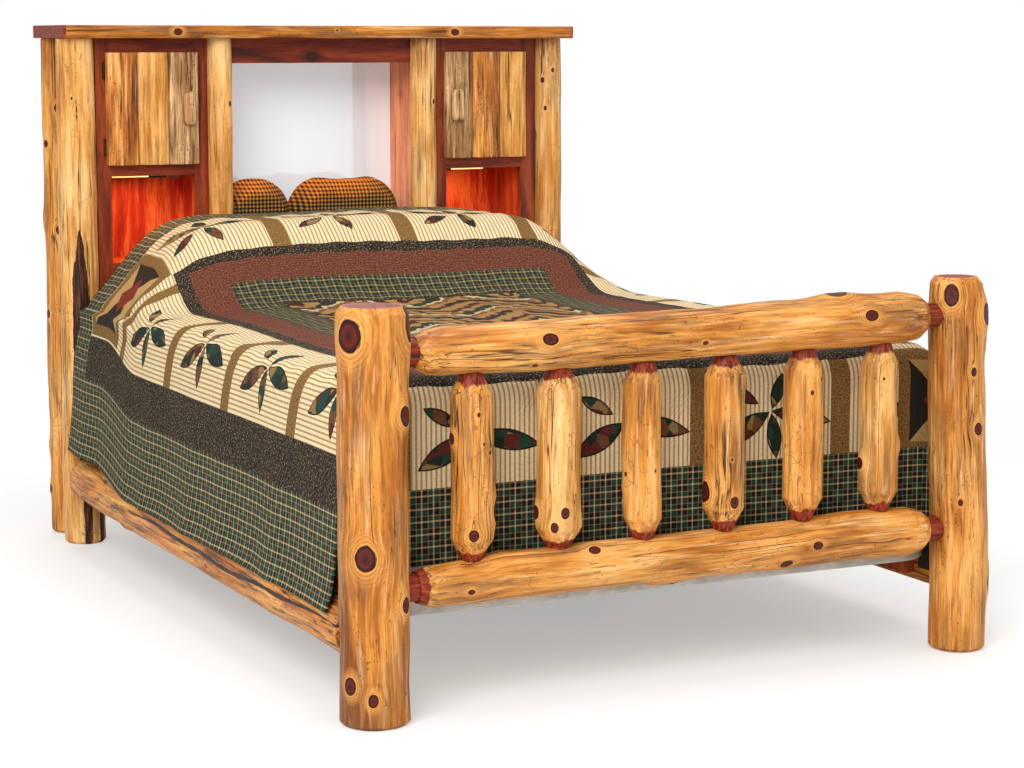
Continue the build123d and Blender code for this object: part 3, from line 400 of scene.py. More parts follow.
def split_ring(width, depth, side=0.02, flip=1, columns=110):
    """A split log, flat at b = 0 and round towards -b: a straight side, then b = -depth * sin t.
    Sizes are shares of the radius. The flat face doesn't swell."""
    t = np.linspace(0, np.pi, 60)
    round_part = np.stack([-width * np.cos(t), -side - (depth - side) * np.sin(t)], axis=1)
    outline = np.concatenate([[[-width, 0.0]], round_part, [[width, 0.0]]])
    ring = even(outline, columns * 3 // 4)
    line = np.linspace(width, -width, columns // 4 + 2)[1:-1]
    ring = np.concatenate([ring, np.stack([line, np.zeros_like(line)], axis=1)])
    free = np.clip(-ring[:, 1] / (0.4 * depth), 0, 1)
    if flip < 0:
        ring, free = (ring * (1, -1))[::-1], free[::-1]
    return ring, free


def box_ring(half_a, half_b, corner, columns=150):
    """A plank: a quarter circle round each of (+-(half_a - corner), +-(half_b - corner)), in shares
    of the radius."""
    t = np.linspace(0, np.pi / 2, 6)
    arc = np.stack([np.cos(t), np.sin(t)], axis=1) * corner
    parts = []
    for quarter, (a, b) in enumerate([(1, 1), (-1, 1), (-1, -1), (1, -1)]):
        turn = quarter * np.pi / 2
        spin = np.array([[math.cos(turn), math.sin(turn)], [-math.sin(turn), math.cos(turn)]])
        parts.append(arc @ spin + [a * (half_a - corner), b * (half_b - corner)])
    ring = even(np.concatenate(parts), columns, closed=True)
    return ring, np.ones(columns)


RINGS = (round_ring(), split_ring(1, 1), box_ring(1, 1, 0.1))
print("points in a round, a split and a box ring:", [len(ring) for ring, _ in RINGS])

# %% [markdown]
# ## Swells, knots and grain
# A real log swells and narrows, has shallow flutes along the grain, and bulges round each knot.
# Each of these is a small change of the radius, so they add up. The grain is the place inside the
# straight log, pushed aside round each knot, as the fibres of a real log are.

# %% The log function
AXES = {"x": (1, 2, 0), "y": (2, 0, 1), "z": (0, 1, 2)}    # the log's two ways across, then along
HEART_EDGE = 0.16    # share of the radius over which sapwood turns into heartwood
APART = 3.7          # metres of grain from one log's pattern to the next one's


def swells(angle, along, seed, size):
    """Slow swells and fine flutes: a sum of size * cos(n * angle + m * along + phase). Each row is
    (waves round the log, wave length along it in metres, share of the size)."""
    rng = np.random.default_rng(seed)
    total = np.zeros(np.broadcast(angle, along).shape)
    for turns, wave, share in [
            (1, 0.9, 1.0), (2, 0.6, 0.7), (1, 0.35, 0.6), (3, 0.45, 0.5), (2, 0.22, 0.4), (4, 0.30, 0.35),
            (5, 0.8, 0.3), (3, 0.13, 0.25), (7, 1.4, 0.22), (9, 0.9, 0.16), (12, 1.8, 0.12), (6, 0.09, 0.10)]:
        m = 2 * np.pi / wave * rng.choice([-1, 1]) * rng.uniform(0.7, 1.3)
        total += share * np.cos(turns * angle + m * along + rng.uniform(0, 2 * np.pi))
    return size * total


def log(name, node, material, axis, centre, stations, seed, knots=(), ring=None, swell=0.0012,
        sway=0.0, heart_radius=0.6, heart=None, tone=0.4, lean=None, step=0.004, body="root"):
    """A log in place of a frame node. stations are (place along the axis, radius), from pole to
    pole; knots are (angle in degrees, place along the axis, radius, rise), in metres. A knot lifts
    the surface by rise * exp(-(d / 1.9)^2) less a dish of 0.35 * rise * exp(-(d / 0.8)^4), where d
    is the distance in knot radii, and bends the fibres aside by about 1.6 * radius^2 / distance."""
    unit, free = ring or round_ring()
    along, radius = profile(stations, step)
    full = radius.max()
    angle = np.arctan2(unit[:, 1], unit[:, 0])[None, :]
    place = along[:, None]
    reach = np.clip(radius / full, 0, 1)[:, None]
    size = np.broadcast_to(radius[:, None], (len(along), len(unit))).copy()
    size += swells(angle, place, seed, swell) * reach * free
    near = np.full(size.shape, 9.0)
    bend = np.zeros((*size.shape, 2))
    flat = (unit * full)[None]
    for degrees, where, spot, rise in knots:
        out = np.array([math.cos(math.radians(degrees)), math.sin(math.radians(degrees))])
        side = np.array([-out[1], out[0]])
        core = (unit * full)[np.argmax(unit @ out / np.maximum(np.linalg.norm(unit, axis=1), 1e-9))]
        gap = np.linalg.norm(flat - core, axis=2)
        run = place - where
        distance = np.sqrt((gap / spot) ** 2 + (run / (1.35 * spot)) ** 2)
        near = np.minimum(near, distance)
        lift = rise * np.exp(-((distance / 1.9) ** 2)) - 0.35 * rise * np.exp(-((distance / 0.8) ** 4))
        size += np.where(reach > 0.8, lift, 0) * free
        offset = (flat - core) @ side
        push = 1.6 * spot**2 * offset / (gap**2 + run**2 + (0.8 * spot) ** 2)
        bend -= push[..., None] * side
    spread = unit[None] * size[..., None]
    shift = np.zeros((len(along), 2))
    if sway:
        turn = np.random.default_rng(seed + 1).uniform(0, 2 * np.pi, 2)
        ends = np.sin(np.pi * np.clip((along - along[0]) / (along[-1] - along[0]), 0, 1))
        shift = sway * ends[:, None] * np.sin(along[:, None] * 2 * np.pi / 0.7 + turn)
    middle = np.array(centre)[None, :] if lean is None else lean(along)
    across = middle[:, None, :] + shift[:, None, :] + spread
    local = np.concatenate([across, np.broadcast_to(place[..., None], (*size.shape, 1))], axis=2)
    points = local[..., np.argsort(AXES[axis])]
    grain = np.concatenate([spread + bend, local[..., 2:]], axis=2) + APART * seed
    core_share = 0.5 + (heart_radius * full - size) / (HEART_EDGE * full)
    red = np.clip(core_share if heart is None else np.maximum(core_share, heart(angle, place)), 0, 1)
    depth = tone(angle, place) if callable(tone) else np.full(size.shape, tone)
    made = mesh_object(name, with_poles(points), ring_faces(*size.shape), material, {
        "grain": with_poles(grain), "knot": with_poles(near), "heart": with_poles(red),
        "tone": with_poles(np.broadcast_to(depth, size.shape)),
    })
    if node:
        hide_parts(node)
    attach(made, body)
    return made


def middle_of(node):
    """The middle of a frame node's box."""
    low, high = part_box(node)
    return [(a + b) / 2 for a, b in zip(low, high)]


print("the left foot post's middle", [round(v, 3) for v in middle_of("footboard_post_left")])

# %% [markdown]
# ## Footboard posts
# Two stout logs with chamfered ends. Their knots stand proud as smooth collars, dark red in the
# middle, where branches as thick as a thumb were cut off.

# %% Make the footboard posts
POLE = 0.0004                       # radius of the smallest ring, round a pole
foot_y, foot_x = -1.1760, 0.7675    # the middle of the right post; the left one mirrors it
foot_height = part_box("footboard_post_left")[1][2]


def upright(radius_low, radius_high, height, chamfer_low=0.009, chamfer_high=0.013):
    """Stations of an upright log, pole to pole, with both rims chamfered."""
    return [(0, POLE), (0, radius_low - chamfer_low), (chamfer_low, radius_low),
            (height - chamfer_high, radius_high), (height, radius_high - chamfer_high), (height, POLE)]


def swaying(x, y, places):
    """The line of a log's middle through (height, sway in x) points, as the mean of 13 places
    within 6 cm of each height."""
    heights, sways = np.array(places).T

    def line(along):
        near = [np.interp(along + shift, heights, sways) for shift in np.linspace(-0.06, 0.06, 13)]
        return np.stack([x + sum(near) / 13, np.full_like(along, y)], axis=1)

    return line


def deeper_low(angle, height):
    """Tone of the left post: 0.66, and up to 0.88 at the floor, so the post is darker towards the bottom."""
    return 0.66 + 0.22 * np.clip(1 - height / 0.35, 0, 1) + 0 * angle


log("foot_post_left_log", "footboard_post_left", log_wood, "z", None, [
    (0, POLE), (0, 0.068), (0.009, 0.077), (0.12, 0.0765), (0.45, 0.0760), (0.66, 0.0775), (0.76, 0.0755),
    (0.84, 0.0775), (foot_height - 0.015, 0.0765), (foot_height, 0.065), (foot_height, POLE)],
    lean=swaying(-foot_x, foot_y, [(0, 0.005), (0.33, 0.007), (0.64, 0.006), (0.9, 0.006)]),
    seed=1, heart_radius=0.80, tone=deeper_low, knots=[
        (-150, 0.852, 0.027, 0.008), (-56, 0.678, 0.016, 0.011), (-127, 0.375, 0.021, 0.008),
        (-54, 0.267, 0.014, 0.007), (-153, 0.096, 0.014, 0.008), (-113, 0.069, 0.011, 0.006),
        (60, 0.520, 0.016, 0.008), (130, 0.25, 0.015, 0.007), (-30, 0.87, 0.03, 0.004)])
log("foot_post_right_log", "footboard_post_right", log_wood, "z", None, [
    (0, POLE), (0, 0.059), (0.009, 0.068), (0.25, 0.069), (0.60, 0.0675), (0.78, 0.0675), (0.83, 0.066),
    (foot_height - 0.015, 0.0605), (foot_height, 0.051), (foot_height, POLE)],
    lean=swaying(foot_x, foot_y, [
        (0, 0.006), (0.22, 0.007), (0.54, -0.007), (0.75, -0.013), (0.9, -0.021)]),
    seed=2, heart_radius=0.62, tone=0.44, knots=[
        (-135, 0.868, 0.019, 0.006), (-50, 0.820, 0.020, 0.014), (-90, 0.685, 0.008, 0.003),
        (-80, 0.548, 0.012, 0.005), (-119, 0.370, 0.007, 0.001), (-37, 0.170, 0.020, 0.008),
        (110, 0.440, 0.017, 0.008), (-35, 0.745, 0.010, 0.004), (-20, 0.62, 0.020, 0.004)])
print("footboard posts", round(foot_height, 3), "m high")

# %% [markdown]
# ## Footboard rails
# The rails are crooked logs, pencil-pointed at both ends down to a round tenon. The heartwood
# shows red on the points. Each follows the crooked line of the frame's rail: its stations are
# (place across the bed, height of the middle, radius).

# %% Make the two rails
TOP_RAIL = [(-0.6645, 0.803, 0.034), (-0.638, 0.803, 0.048), (-0.60, 0.803, 0.0535),
            (-0.36, 0.803, 0.056), (0.034, 0.807, 0.0565), (0.333, 0.815, 0.0595),
            (0.581, 0.819, 0.0625), (0.628, 0.818, 0.055), (0.6467, 0.818, 0.042)]
BOTTOM_RAIL = [(-0.6645, 0.290, 0.035), (-0.630, 0.289, 0.0455), (-0.54, 0.292, 0.0495),
               (-0.46, 0.298, 0.0535), (-0.37, 0.296, 0.0535), (0.044, 0.297, 0.0530),
               (0.44, 0.304, 0.0585), (0.612, 0.302, 0.0575), (0.650, 0.300, 0.050),
               (0.6668, 0.300, 0.038)]


def rail(name, node, shape, seed, knots, tone, red_ends):
    """A rail through its stations, with a tenon stub at each end that goes into its post;
    red_ends says how far the heartwood shows from each end."""
    x, height, radius = np.array(shape).T
    stub, tenon, edge = 0.05, 0.0305, 0.012
    stations = [(x[0] - stub, POLE), (x[0] - stub, tenon), (x[0], tenon), *zip(x, radius),
                (x[-1], tenon), (x[-1] + stub, tenon), (x[-1] + stub, POLE)]

    def line(along):
        return np.stack([np.full_like(along, foot_y), np.interp(along, x, height)], axis=1)

    def red(angle, along):
        left = 0.5 + (x[0] + red_ends[0] - along) / edge
        return np.maximum(left, 0.5 + (along - x[-1] + red_ends[1]) / edge) + 0 * angle

    return log(name, node, log_wood, "x", None, stations, seed, knots=knots, lean=line, tone=tone,
               heart_radius=0.0, heart=red, swell=0.0012)


rail("top_rail_log", "footboard_top_rail", TOP_RAIL, 3, [
    (162, -0.365, 0.014, 0.007), (222, -0.396, 0.006, 0.001), (194, 0.026, 0.006, 0.003),
    (166, 0.468, 0.013, 0.003), (95, 0.404, 0.020, 0.010), (261, -0.169, 0.006, 0.001),
    (20, 0.2, 0.014, 0.005)], 0.46, (-0.001, -0.001))
rail("bottom_rail_log", "footboard_bottom_rail", BOTTOM_RAIL, 4, [
    (195, -0.553, 0.007, 0.004), (128, -0.243, 0.011, 0.003), (220, 0.254, 0.012, 0.005),
    (180, 0.332, 0.010, 0.002), (262, -0.05, 0.018, 0.009),
    (20, -0.2, 0.014, 0.005)], 0.44, (0.018, -0.001))
print("rails", TOP_RAIL[0][0], "to", TOP_RAIL[-1][0])

# %% [markdown]
# ## Spindles
# Six short logs, sharpened at both ends like pencils. The blade cut through the pale sapwood into
# red heartwood, which leaves a jagged red crown round each neck.

# %% Make the spindles
# Each is (radius, wood, tone, knots), from the left post to the right one.
SPINDLES = {
    1: (0.0465, log_wood, 0.42, [
        (-109, 0.400, 0.010, 0.003), (179, 0.610, 0.010, 0.008), (-82, 0.60, 0.003, 0.001),
        (-20, 0.45, 0.022, 0.011), (-95, 0.665, 0.004, 0.001), (-60, 0.58, 0.004, 0.0)]),
    2: (0.0500, pale_wood, 0.40, [
        (-98, 0.432, 0.010, 0.004), (-125, 0.400, 0.009, 0.003), (176, 0.43, 0.012, 0.006),
        (-5, 0.40, 0.012, 0.005)]),
    3: (0.0440, log_wood, 0.36, [
        (-75, 0.508, 0.003, 0.001), (160, 0.45, 0.012, 0.005), (-170, 0.50, 0.004, 0.001)]),
    4: (0.0468, log_wood, 0.40, [
        (-100, 0.52, 0.003, 0.001), (178, 0.44, 0.018, 0.005), (-90, 0.42, 0.010, 0.001)]),
    5: (0.0460, log_wood, 0.44, [
        (-95, 0.66, 0.004, 0.001), (150, 0.55, 0.010, 0.005), (-60, 0.69, 0.004, 0.0)]),
    6: (0.0444, pale_wood, 0.50, [
        (175, 0.475, 0.011, 0.009), (-15, 0.515, 0.010, 0.009), (-110, 0.68, 0.003, 0.001)]),
}
TENON_STUB = 0.034    # how far the frame's spindle reaches into each rail
for number, (radius, wood, tone, knots) in SPINDLES.items():
    node = f"footboard_spindle_{number}"
    low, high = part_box(node)
    x, y, _ = middle_of(node)
    bottom, top = low[2] + TENON_STUB, high[2] - TENON_STUB
    log(f"spindle_log_{number}", node, wood, "z", (x, y), [
        (bottom - 0.012, POLE), (bottom - 0.012, 0.019), (bottom, 0.025), (bottom + 0.026, radius - 0.010),
        (bottom + 0.046, radius), (top - 0.044, radius), (top - 0.027, radius - 0.009),
        (top, 0.026), (top + 0.012, 0.019), (top + 0.012, POLE)],
        seed=10 + number, knots=knots, swell=0.0009, sway=0.002, heart_radius=0.72, tone=tone,
        step=0.003)
print("spindles", len(SPINDLES))

# %% [markdown]
# ## Headboard logs
# The four tall posts are slimmer. The left front one grew round an old scar, so a wedge of dark
# heartwood shows from its foot upwards. The half logs that hide the cabinet joints are one log
# sawn down the middle.

# %% Make the headboard posts and half logs
head_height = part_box("headboard_front_post_left")[1][2]
head_x, head_y = 0.762, 1.0100
rear_y = head_y + 0.176


def post_wedge(angle, along):
    """The dark wedge: a band round -103 degrees, widest at 0.7 m and closed at 0.93 m, and a
    narrower one 50 degrees beside it that closes at 0.3 m."""
    turn = np.degrees((angle - math.radians(-103) + np.pi) % (2 * np.pi) - np.pi)
    turn = turn - np.interp(along, [0.0, 0.3, 0.5], [5, 4, 0])
    width = np.interp(along, [0.0, 0.15, 0.45, 0.68, 0.78, 0.86, 0.93], [10, 12, 25, 27, 23, 13, 0])
    beside = np.interp(along, [0.0, 0.2, 0.35], [12, 8, -12]) - np.abs(turn - 50)
    return np.clip(0.5 + np.maximum(width - np.abs(turn), beside) / 12, 0, 1)


# Each is (wood, x, y, radius at the foot, radius at the top, tone, swell, heart, knots).
HEAD_POSTS = {
    "front_post_left": (split_wood, -head_x, head_y, 0.0600, 0.0535, 0.38, 0.0012, post_wedge, [
        (-118, 1.30, 0.004, 0.001)]),
    "front_post_right": (pale_wood, head_x, head_y, 0.0475, 0.0435, 0.46, 0.001, None, [
        (-136, 1.342, 0.007, 0.002), (-124, 1.255, 0.006, 0.001), (-92, 1.373, 0.006, 0.001)]),
    "rear_post_left": (log_wood, -head_x, rear_y, 0.0505, 0.0475, 0.40, 0.0012, None, [
        (-111, 1.269, 0.009, 0.003), (-157, 1.164, 0.008, 0.005), (-115, 0.912, 0.010, 0.004),
        (165, 0.939, 0.012, 0.006), (-166, 0.661, 0.009, 0.005), (165, 0.264, 0.009, 0.005),
        (-178, 0.133, 0.010, 0.005)]),
    "rear_post_right": (log_wood, head_x, rear_y, 0.0495, 0.0465, 0.40, 0.0012, None, [
        (-40, 1.21, 0.010, 0.005), (15, 0.905, 0.011, 0.006), (60, 0.61, 0.010, 0.005),
        (-10, 0.24, 0.010, 0.005)]),
}
for seed, (name, post) in enumerate(HEAD_POSTS.items(), 21):
    wood, x, y, radius_low, radius_high, tone, swell, heart, knots = post
    stations = upright(radius_low, radius_high, head_height, chamfer_high=0.002)
    log(f"{name}_log", f"headboard_{name}", wood, "z", (x, y), stations, seed, knots=knots,
        heart_radius=0.5, heart=heart, tone=tone, swell=swell)

HALF_LOG_DEPTH = 0.045
for side, sign, half_width, tone in (("left", -1, 0.0375, 0.36), ("right", 1, 0.0425, 0.34)):
    node = f"headboard_half_log_{side}"
    low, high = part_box(node)
    log(f"half_log_{side}", node, pale_wood, "z", (middle_of(node)[0], high[1]), [
        (low[2], POLE), (low[2], half_width), (high[2] * 0.6, 0.99 * half_width),
        (high[2], 0.95 * half_width), (high[2], POLE)],
        seed=30 + sign, ring=split_ring(1.0, HALF_LOG_DEPTH / half_width), swell=0.0007,
        heart_radius=0.2, tone=tone, knots=[(-60, 1.28, 0.006, 0.001), (-95, 0.82, 0.006, 0.001)])
_, cross_y, cross_z = middle_of("headboard_cross_rail")
log("cross_rail_log", "headboard_cross_rail", log_wood, "x", (cross_y, cross_z), [
    (-0.716, POLE), (-0.716, 0.028), (-0.701, 0.031), (-0.675, 0.049), (0.675, 0.049), (0.701, 0.031),
    (0.725, 0.028), (0.725, POLE)], seed=33, heart_radius=0.66, tone=0.5,
    knots=[(200, -0.3, 0.012, 0.003), (160, 0.35, 0.012, 0.003)], swell=0.0007)
print("headboard posts", round(head_height, 3), "m high")

# %% [markdown]
# ## Side rails
# One log sawn in two makes both side rails. The flat, sawn face turns inward. The round face is
# weathered and rough, with a long drying crack.

# %% Make the side rails
RAIL_RADIUS = 0.067
RAIL_DEPTH = 0.97               # depth of the split log, as a share of its radius
RAIL_X, RAIL_Z = 0.775, 0.201   # the middle of the sawn face


def rail_cracks(side):
    """A long, dark crack on the round face: a strip of angle that wanders along the rail, 9 degrees
    + 5 * sin(5.1 y + 0.6) + 2 * sin(17 y) above the middle, and closes in places."""
    def dark(angle, along):
        up = side * (90 * side - np.degrees(angle))
        line = 9 + 5 * np.sin(5.1 * along + 0.6) + 2 * np.sin(17 * along)
        width = 4.5 * np.clip(np.sin(2.6 * along + 2.6) + 0.55, 0, 1)
        return np.clip(0.5 + (width - np.abs(up - line)) / 5, 0, 1) * (width > 0.2)
    return dark


for side, sign in (("left", -1), ("right", 1)):
    low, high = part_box(f"side_rail_{side}")
    start, end = low[1], high[1]
    log(f"side_rail_{side}_log", f"side_rail_{side}", weathered_wood, "y", (RAIL_Z, sign * RAIL_X), [
        (start, POLE), (start, RAIL_RADIUS), (-0.2, RAIL_RADIUS), (end - 0.15, 0.065),
        (end - 0.024, 0.058), (end, 0.042), (end, POLE)],
        seed=41 + sign, ring=split_ring(1.0, RAIL_DEPTH, flip=-sign), swell=0.0010, heart_radius=0.0,
        heart=rail_cracks(sign), tone=0.36, step=0.006,
        knots=[(132 * sign, 0.42, 0.012, 0.008), (104 * sign, -0.30, 0.007, 0.002)])
print("side rails", round(end - start, 3), "m long between the posts")

# %% [markdown]
# ## Top board
# The top board is a thick slab with softened edges. Its sawn ends show red heartwood.

# %% Make the top board
low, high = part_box("top_board")
_, board_y, board_z = middle_of("top_board")
board_half, board_half_thick, board_corner = 0.162, 0.0185, 0.004
board_end = high[0]


def end_grain(angle, x):
    """Heartwood shows on the sawn ends: 1 within 3.5 mm of an end, otherwise 0."""
    return np.where(np.abs(x) > board_end - 0.0035, 1.0, 0.0) + 0 * angle


log("top_board_slab", "top_board", log_wood, "x", (board_y, board_z), [
    (low[0], POLE), (low[0], board_half - 0.002), (low[0] + 0.003, board_half),
    (high[0] - 0.003, board_half), (high[0], board_half - 0.002), (high[0], POLE)],
    seed=50, ring=box_ring(1.0, board_half_thick / board_half, board_corner / board_half), swell=0.0,
    tone=0.72, step=0.007, heart_radius=0.0, heart=end_grain,
    knots=[(180, -0.475, 0.010, 0.0), (180, 0.408, 0.010, 0.0), (178, 0.02, 0.004, 0.0)])
print("top board", round(2 * board_end, 3), "m long")

# %% [markdown]
# ## Doors
# Each door is three half-round slabs of different logs, side by side, and its handle is a short
# split branch. A slab is (left edge, right edge, wood, tone).

# %% Make the door slabs and handles
SLAB_GAP = 0.0012
DOORS = {
    "left": [(-0.6770, -0.5835, orange_wood, 0.50), (-0.5835, -0.4910, pale_wood, 0.42),
             (-0.4910, -0.3980, grey_wood, 0.34)],
    "right": [(0.3980, 0.4900, grey_wood, 0.42), (0.4900, 0.5840, orange_wood, 0.42),
              (0.5840, 0.6770, pale_wood, 0.50)],
}
for side, slabs in DOORS.items():
    low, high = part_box(f"door_{side}_slats")
    back, front = high[1], low[1]
    for number, (x0, x1, wood, tone) in enumerate(slabs):
        half = (x1 - x0) / 2 - SLAB_GAP / 2
        depth = back - front - 0.0005
        log(f"door_{side}_slab_{number + 1}", f"door_{side}_slats", wood, "z", ((x0 + x1) / 2, back), [
            (low[2], POLE), (low[2], half - 0.0008), (low[2] + 0.001, half), (high[2] - 0.001, half),
            (high[2], half - 0.0008), (high[2], POLE)],
            seed=60 + number + 5 * (side == "right"), heart_radius=0.0, tone=tone, swell=0.0005,
            ring=split_ring(1.0, depth / half, side=0.45 * depth / half), body=f"door_{side}", step=0.005)
    low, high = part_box(f"door_{side}_handle")
    half = (high[0] - low[0]) / 2
    grip_x = middle_of(f"door_{side}_handle")[0]
    log(f"door_{side}_grip", f"door_{side}_handle", grey_wood, "z", (grip_x, high[1]), [
        (low[2], POLE), (low[2] + 0.001, 0.5 * half), (low[2] + 0.006, 0.85 * half), (low[2] + 0.016, half),
        (high[2] - 0.014, half), (high[2] - 0.005, 0.85 * half), (high[2] - 0.001, 0.5 * half),
        (high[2], POLE)], seed=70 + (side == "right"), swell=0.0006, heart_radius=0.0, tone=0.28,
        ring=split_ring(1.0, (high[1] - low[1]) / half, side=0.1), body=f"door_{side}", step=0.003)
print("doors", {side: len(slabs) for side, slabs in DOORS.items()})

# %% [markdown]
# ## Small parts
# Hinges and hook plates are steel with a dark bronze or black coat; the lamps are slim battery
# bars with a frosted tube; the cable holes have a grey plastic grommet; the slats are plain pine.

# %% Metals, plastics, pine and the mirror
def coated(name, dark, light, rough, metallic=0.0, grain=300.0, depth=0.0002):
    """A coated or moulded surface: a faint mottle in colour and a fine pebble in height."""
    material, node = new_material(name, Roughness=rough, Metallic=metallic)
    place = node("TexCoord", out=3)
    mottle = node("TexNoise", {"Vector": place, "Scale": 30.0, "Detail": 3.0})
    colour = node("ValToRGB", {"Fac": mottle}, stops=[(0.35, dark), (0.65, light)])
    pebble = node("TexNoise", {"Vector": place, "Scale": grain, "Detail": 2.0})
    return dress(material, colour, pebble, depth)


bronze = coated("steel, oil-rubbed bronze finish", "#2E2018", "#4A3426", 0.38, metallic=0.9)
black_steel = coated("steel, black powder coat", "#141414", "#26241F", 0.5, metallic=0.2)
black_plastic = coated("ABS, moulded black", "#0E0E10", "#1A1A1D", 0.45)
grey_plastic = coated("ABS, moulded grey", "#6E6C68", "#86837D", 0.55)
pine = coated("pine slat, sawn", "#C89A5C", "#E6C48C", 0.6, grain=120.0, depth=0.0005)
for material, names in {
    bronze: "door_left_hinge_leaves door_right_hinge_leaves hinge_frame_leaves hinge_pins",
    black_steel: "rail_hook_plates",
    black_plastic: "lamp_base_left lamp_base_right",
    grey_plastic: "cable_grommets",
    pine: "bed_slats",
    cedar_x: "door_left_battens door_right_battens",
    cedar_side: "rail_cleats",
}.items():
    wear(material, names)


def faint(name, scale, low, high, **surface):
    """A nearly even surface: noise of this scale turns one colour into the other."""
    material, node = new_material(name, **surface)
    noise = node("TexNoise", {"Vector": node("TexCoord", out=3), "Scale": scale})
    return dress(material, node("ValToRGB", {"Fac": noise}, stops=[(0.3, low), (0.7, high)]))


tube = faint("polycarbonate tube, frosted, lit", 500.0, "#FFEFCF", "#FFFFFF", Roughness=0.5,
             Emission_Strength=1.6, Emission_Color="#FFC070")
# The mirror is mostly pale and matt with a faint white emission: painted reflection and glow standing in for
# the bright room it reflects; only a fifth of it is metal.
mirror = faint("float glass, silvered, with painted reflection and glow", 3.0, "#E8F0F4", "#F0F8FA", Metallic=0.20, Roughness=0.03,
               Emission_Color="#F0F8FF", Emission_Strength=0.20)
wear(tube, "lamp_tube_left lamp_tube_right")
wear(mirror, "mirror_glass")
print("small parts dressed")

# %% [markdown]
# ## Check cloth
# Pillows and cushions are covered in a small woven check, the mattress in a plain knit. A weave is
# two waves crossed, the warp and the weft. The pattern reads an attribute named `cloth`, a place
# in metres, so its checks have their true size.

# %% Woven check for pillows and cushions
WAVE_LENGTH = 0.314    # a wave texture of scale 1 repeats after 2 pi / 20


def check_cloth(name, dark, warm, pale, period, glow=None):
    """A small woven check: the mean of warp and weft waves of one period. glow, if any, is the height
    above which the weave turns to its warm colour: painted lamplight, as where a lamp shines on it."""
    material, node = new_material(name, Roughness=0.9, Specular_IOR_Level=0.2)
    place = node("Attribute", out=1, attribute_name="cloth")
    warp, weft = (node("TexWave", {"Vector": place, "Scale": WAVE_LENGTH / period, "Distortion": 0.5},
                       bands_direction=way) for way in "XZ")
    both = node("Math", {0: warp, 1: weft}, operation="ADD")
    both = node("Math", {0: both, 1: 0.5}, operation="MULTIPLY")
    colour = node("ValToRGB", {"Fac": both}, stops=[(0.25, dark), (0.55, "#4E3A1E"), (0.8, pale)])
    # Painted lamplight: above the glow height the weave takes warm orange tones, standing in for the nook
    # lamp shining on the cushion tops.
    if glow:
        lit = node("ValToRGB", {"Fac": both}, stops=[(0.2, "#3E1806"), (0.45, warm), (0.8, "#DC8430")])
        soft = node("TexNoise", {"Vector": place, "Scale": 9.0})
        level = node("SeparateXYZ", {0: place}, out=2)
        level = node("Math", {0: soft, 1: 0.12, 2: level}, operation="MULTIPLY_ADD")
        mask = node("MapRange", {"Value": level, "From Min": glow + 0.03, "From Max": glow + 0.10})
        colour = over(node, colour, lit, mask)
    return dress(material, colour, both, 0.0012)


# The cushions are a dark and tan check; their orange tops are painted lamplight.
cushion_cloth = check_cloth("cotton check, woven, tan and black, with painted lamplight", "#120E0A", "#B85C18", "#A8742E",
                            period=0.0115, glow=1.005)
pillow_cloth = check_cloth("cotton check, woven, green and cream", "#16281E", "#5C6A4A", "#E6D8A8",
                           period=0.02)
cream_cloth = coated("polyester knit, cream, quilted", "#D8D2C4", "#F0EBDF", 0.9, grain=600.0)
# The box spring's grey is partly its cover's own colour and partly painted shade, darkened so the strip seen
# under the footboard matches the shadow beneath the bed.
box_cloth = coated("non-woven polypropylene, darkened with painted shade", "#AEA89E", "#C6C1B8", 0.9, grain=500.0)
print("cloths", [m.name for m in (cushion_cloth, pillow_cloth, cream_cloth, box_cloth)])

# %% [markdown]
# ## Stuffed pieces
# A pillow is a bag of cloth full of fibre: it bulges in the middle and pinches at its corners. The
# piece's own solid, scaled a little, is remeshed into even cells and blown up like a balloon by
# the cloth solver. No point may move further than a set distance, or leave the solid's box by
# more than the spare room. The upper pillows are pressed flatter by the quilt.

# %% Make stuffed pieces
MOMENTS = 20    # frames that the cloth solver runs for


def vertex_places(mesh):
    """All vertices of a mesh as an n x 3 array."""
    places = np.empty(len(mesh.vertices) * 3)
    mesh.vertices.foreach_get("co", places)
    return places.reshape(-1, 3)


def settle(piece):
    """Puts the result of a piece's modifiers into its mesh and takes them off."""
    ready = bpy.data.meshes.new_from_object(piece.evaluated_get(bpy.context.evaluated_depsgraph_get()))
    piece.modifiers.clear()
    piece.data = ready


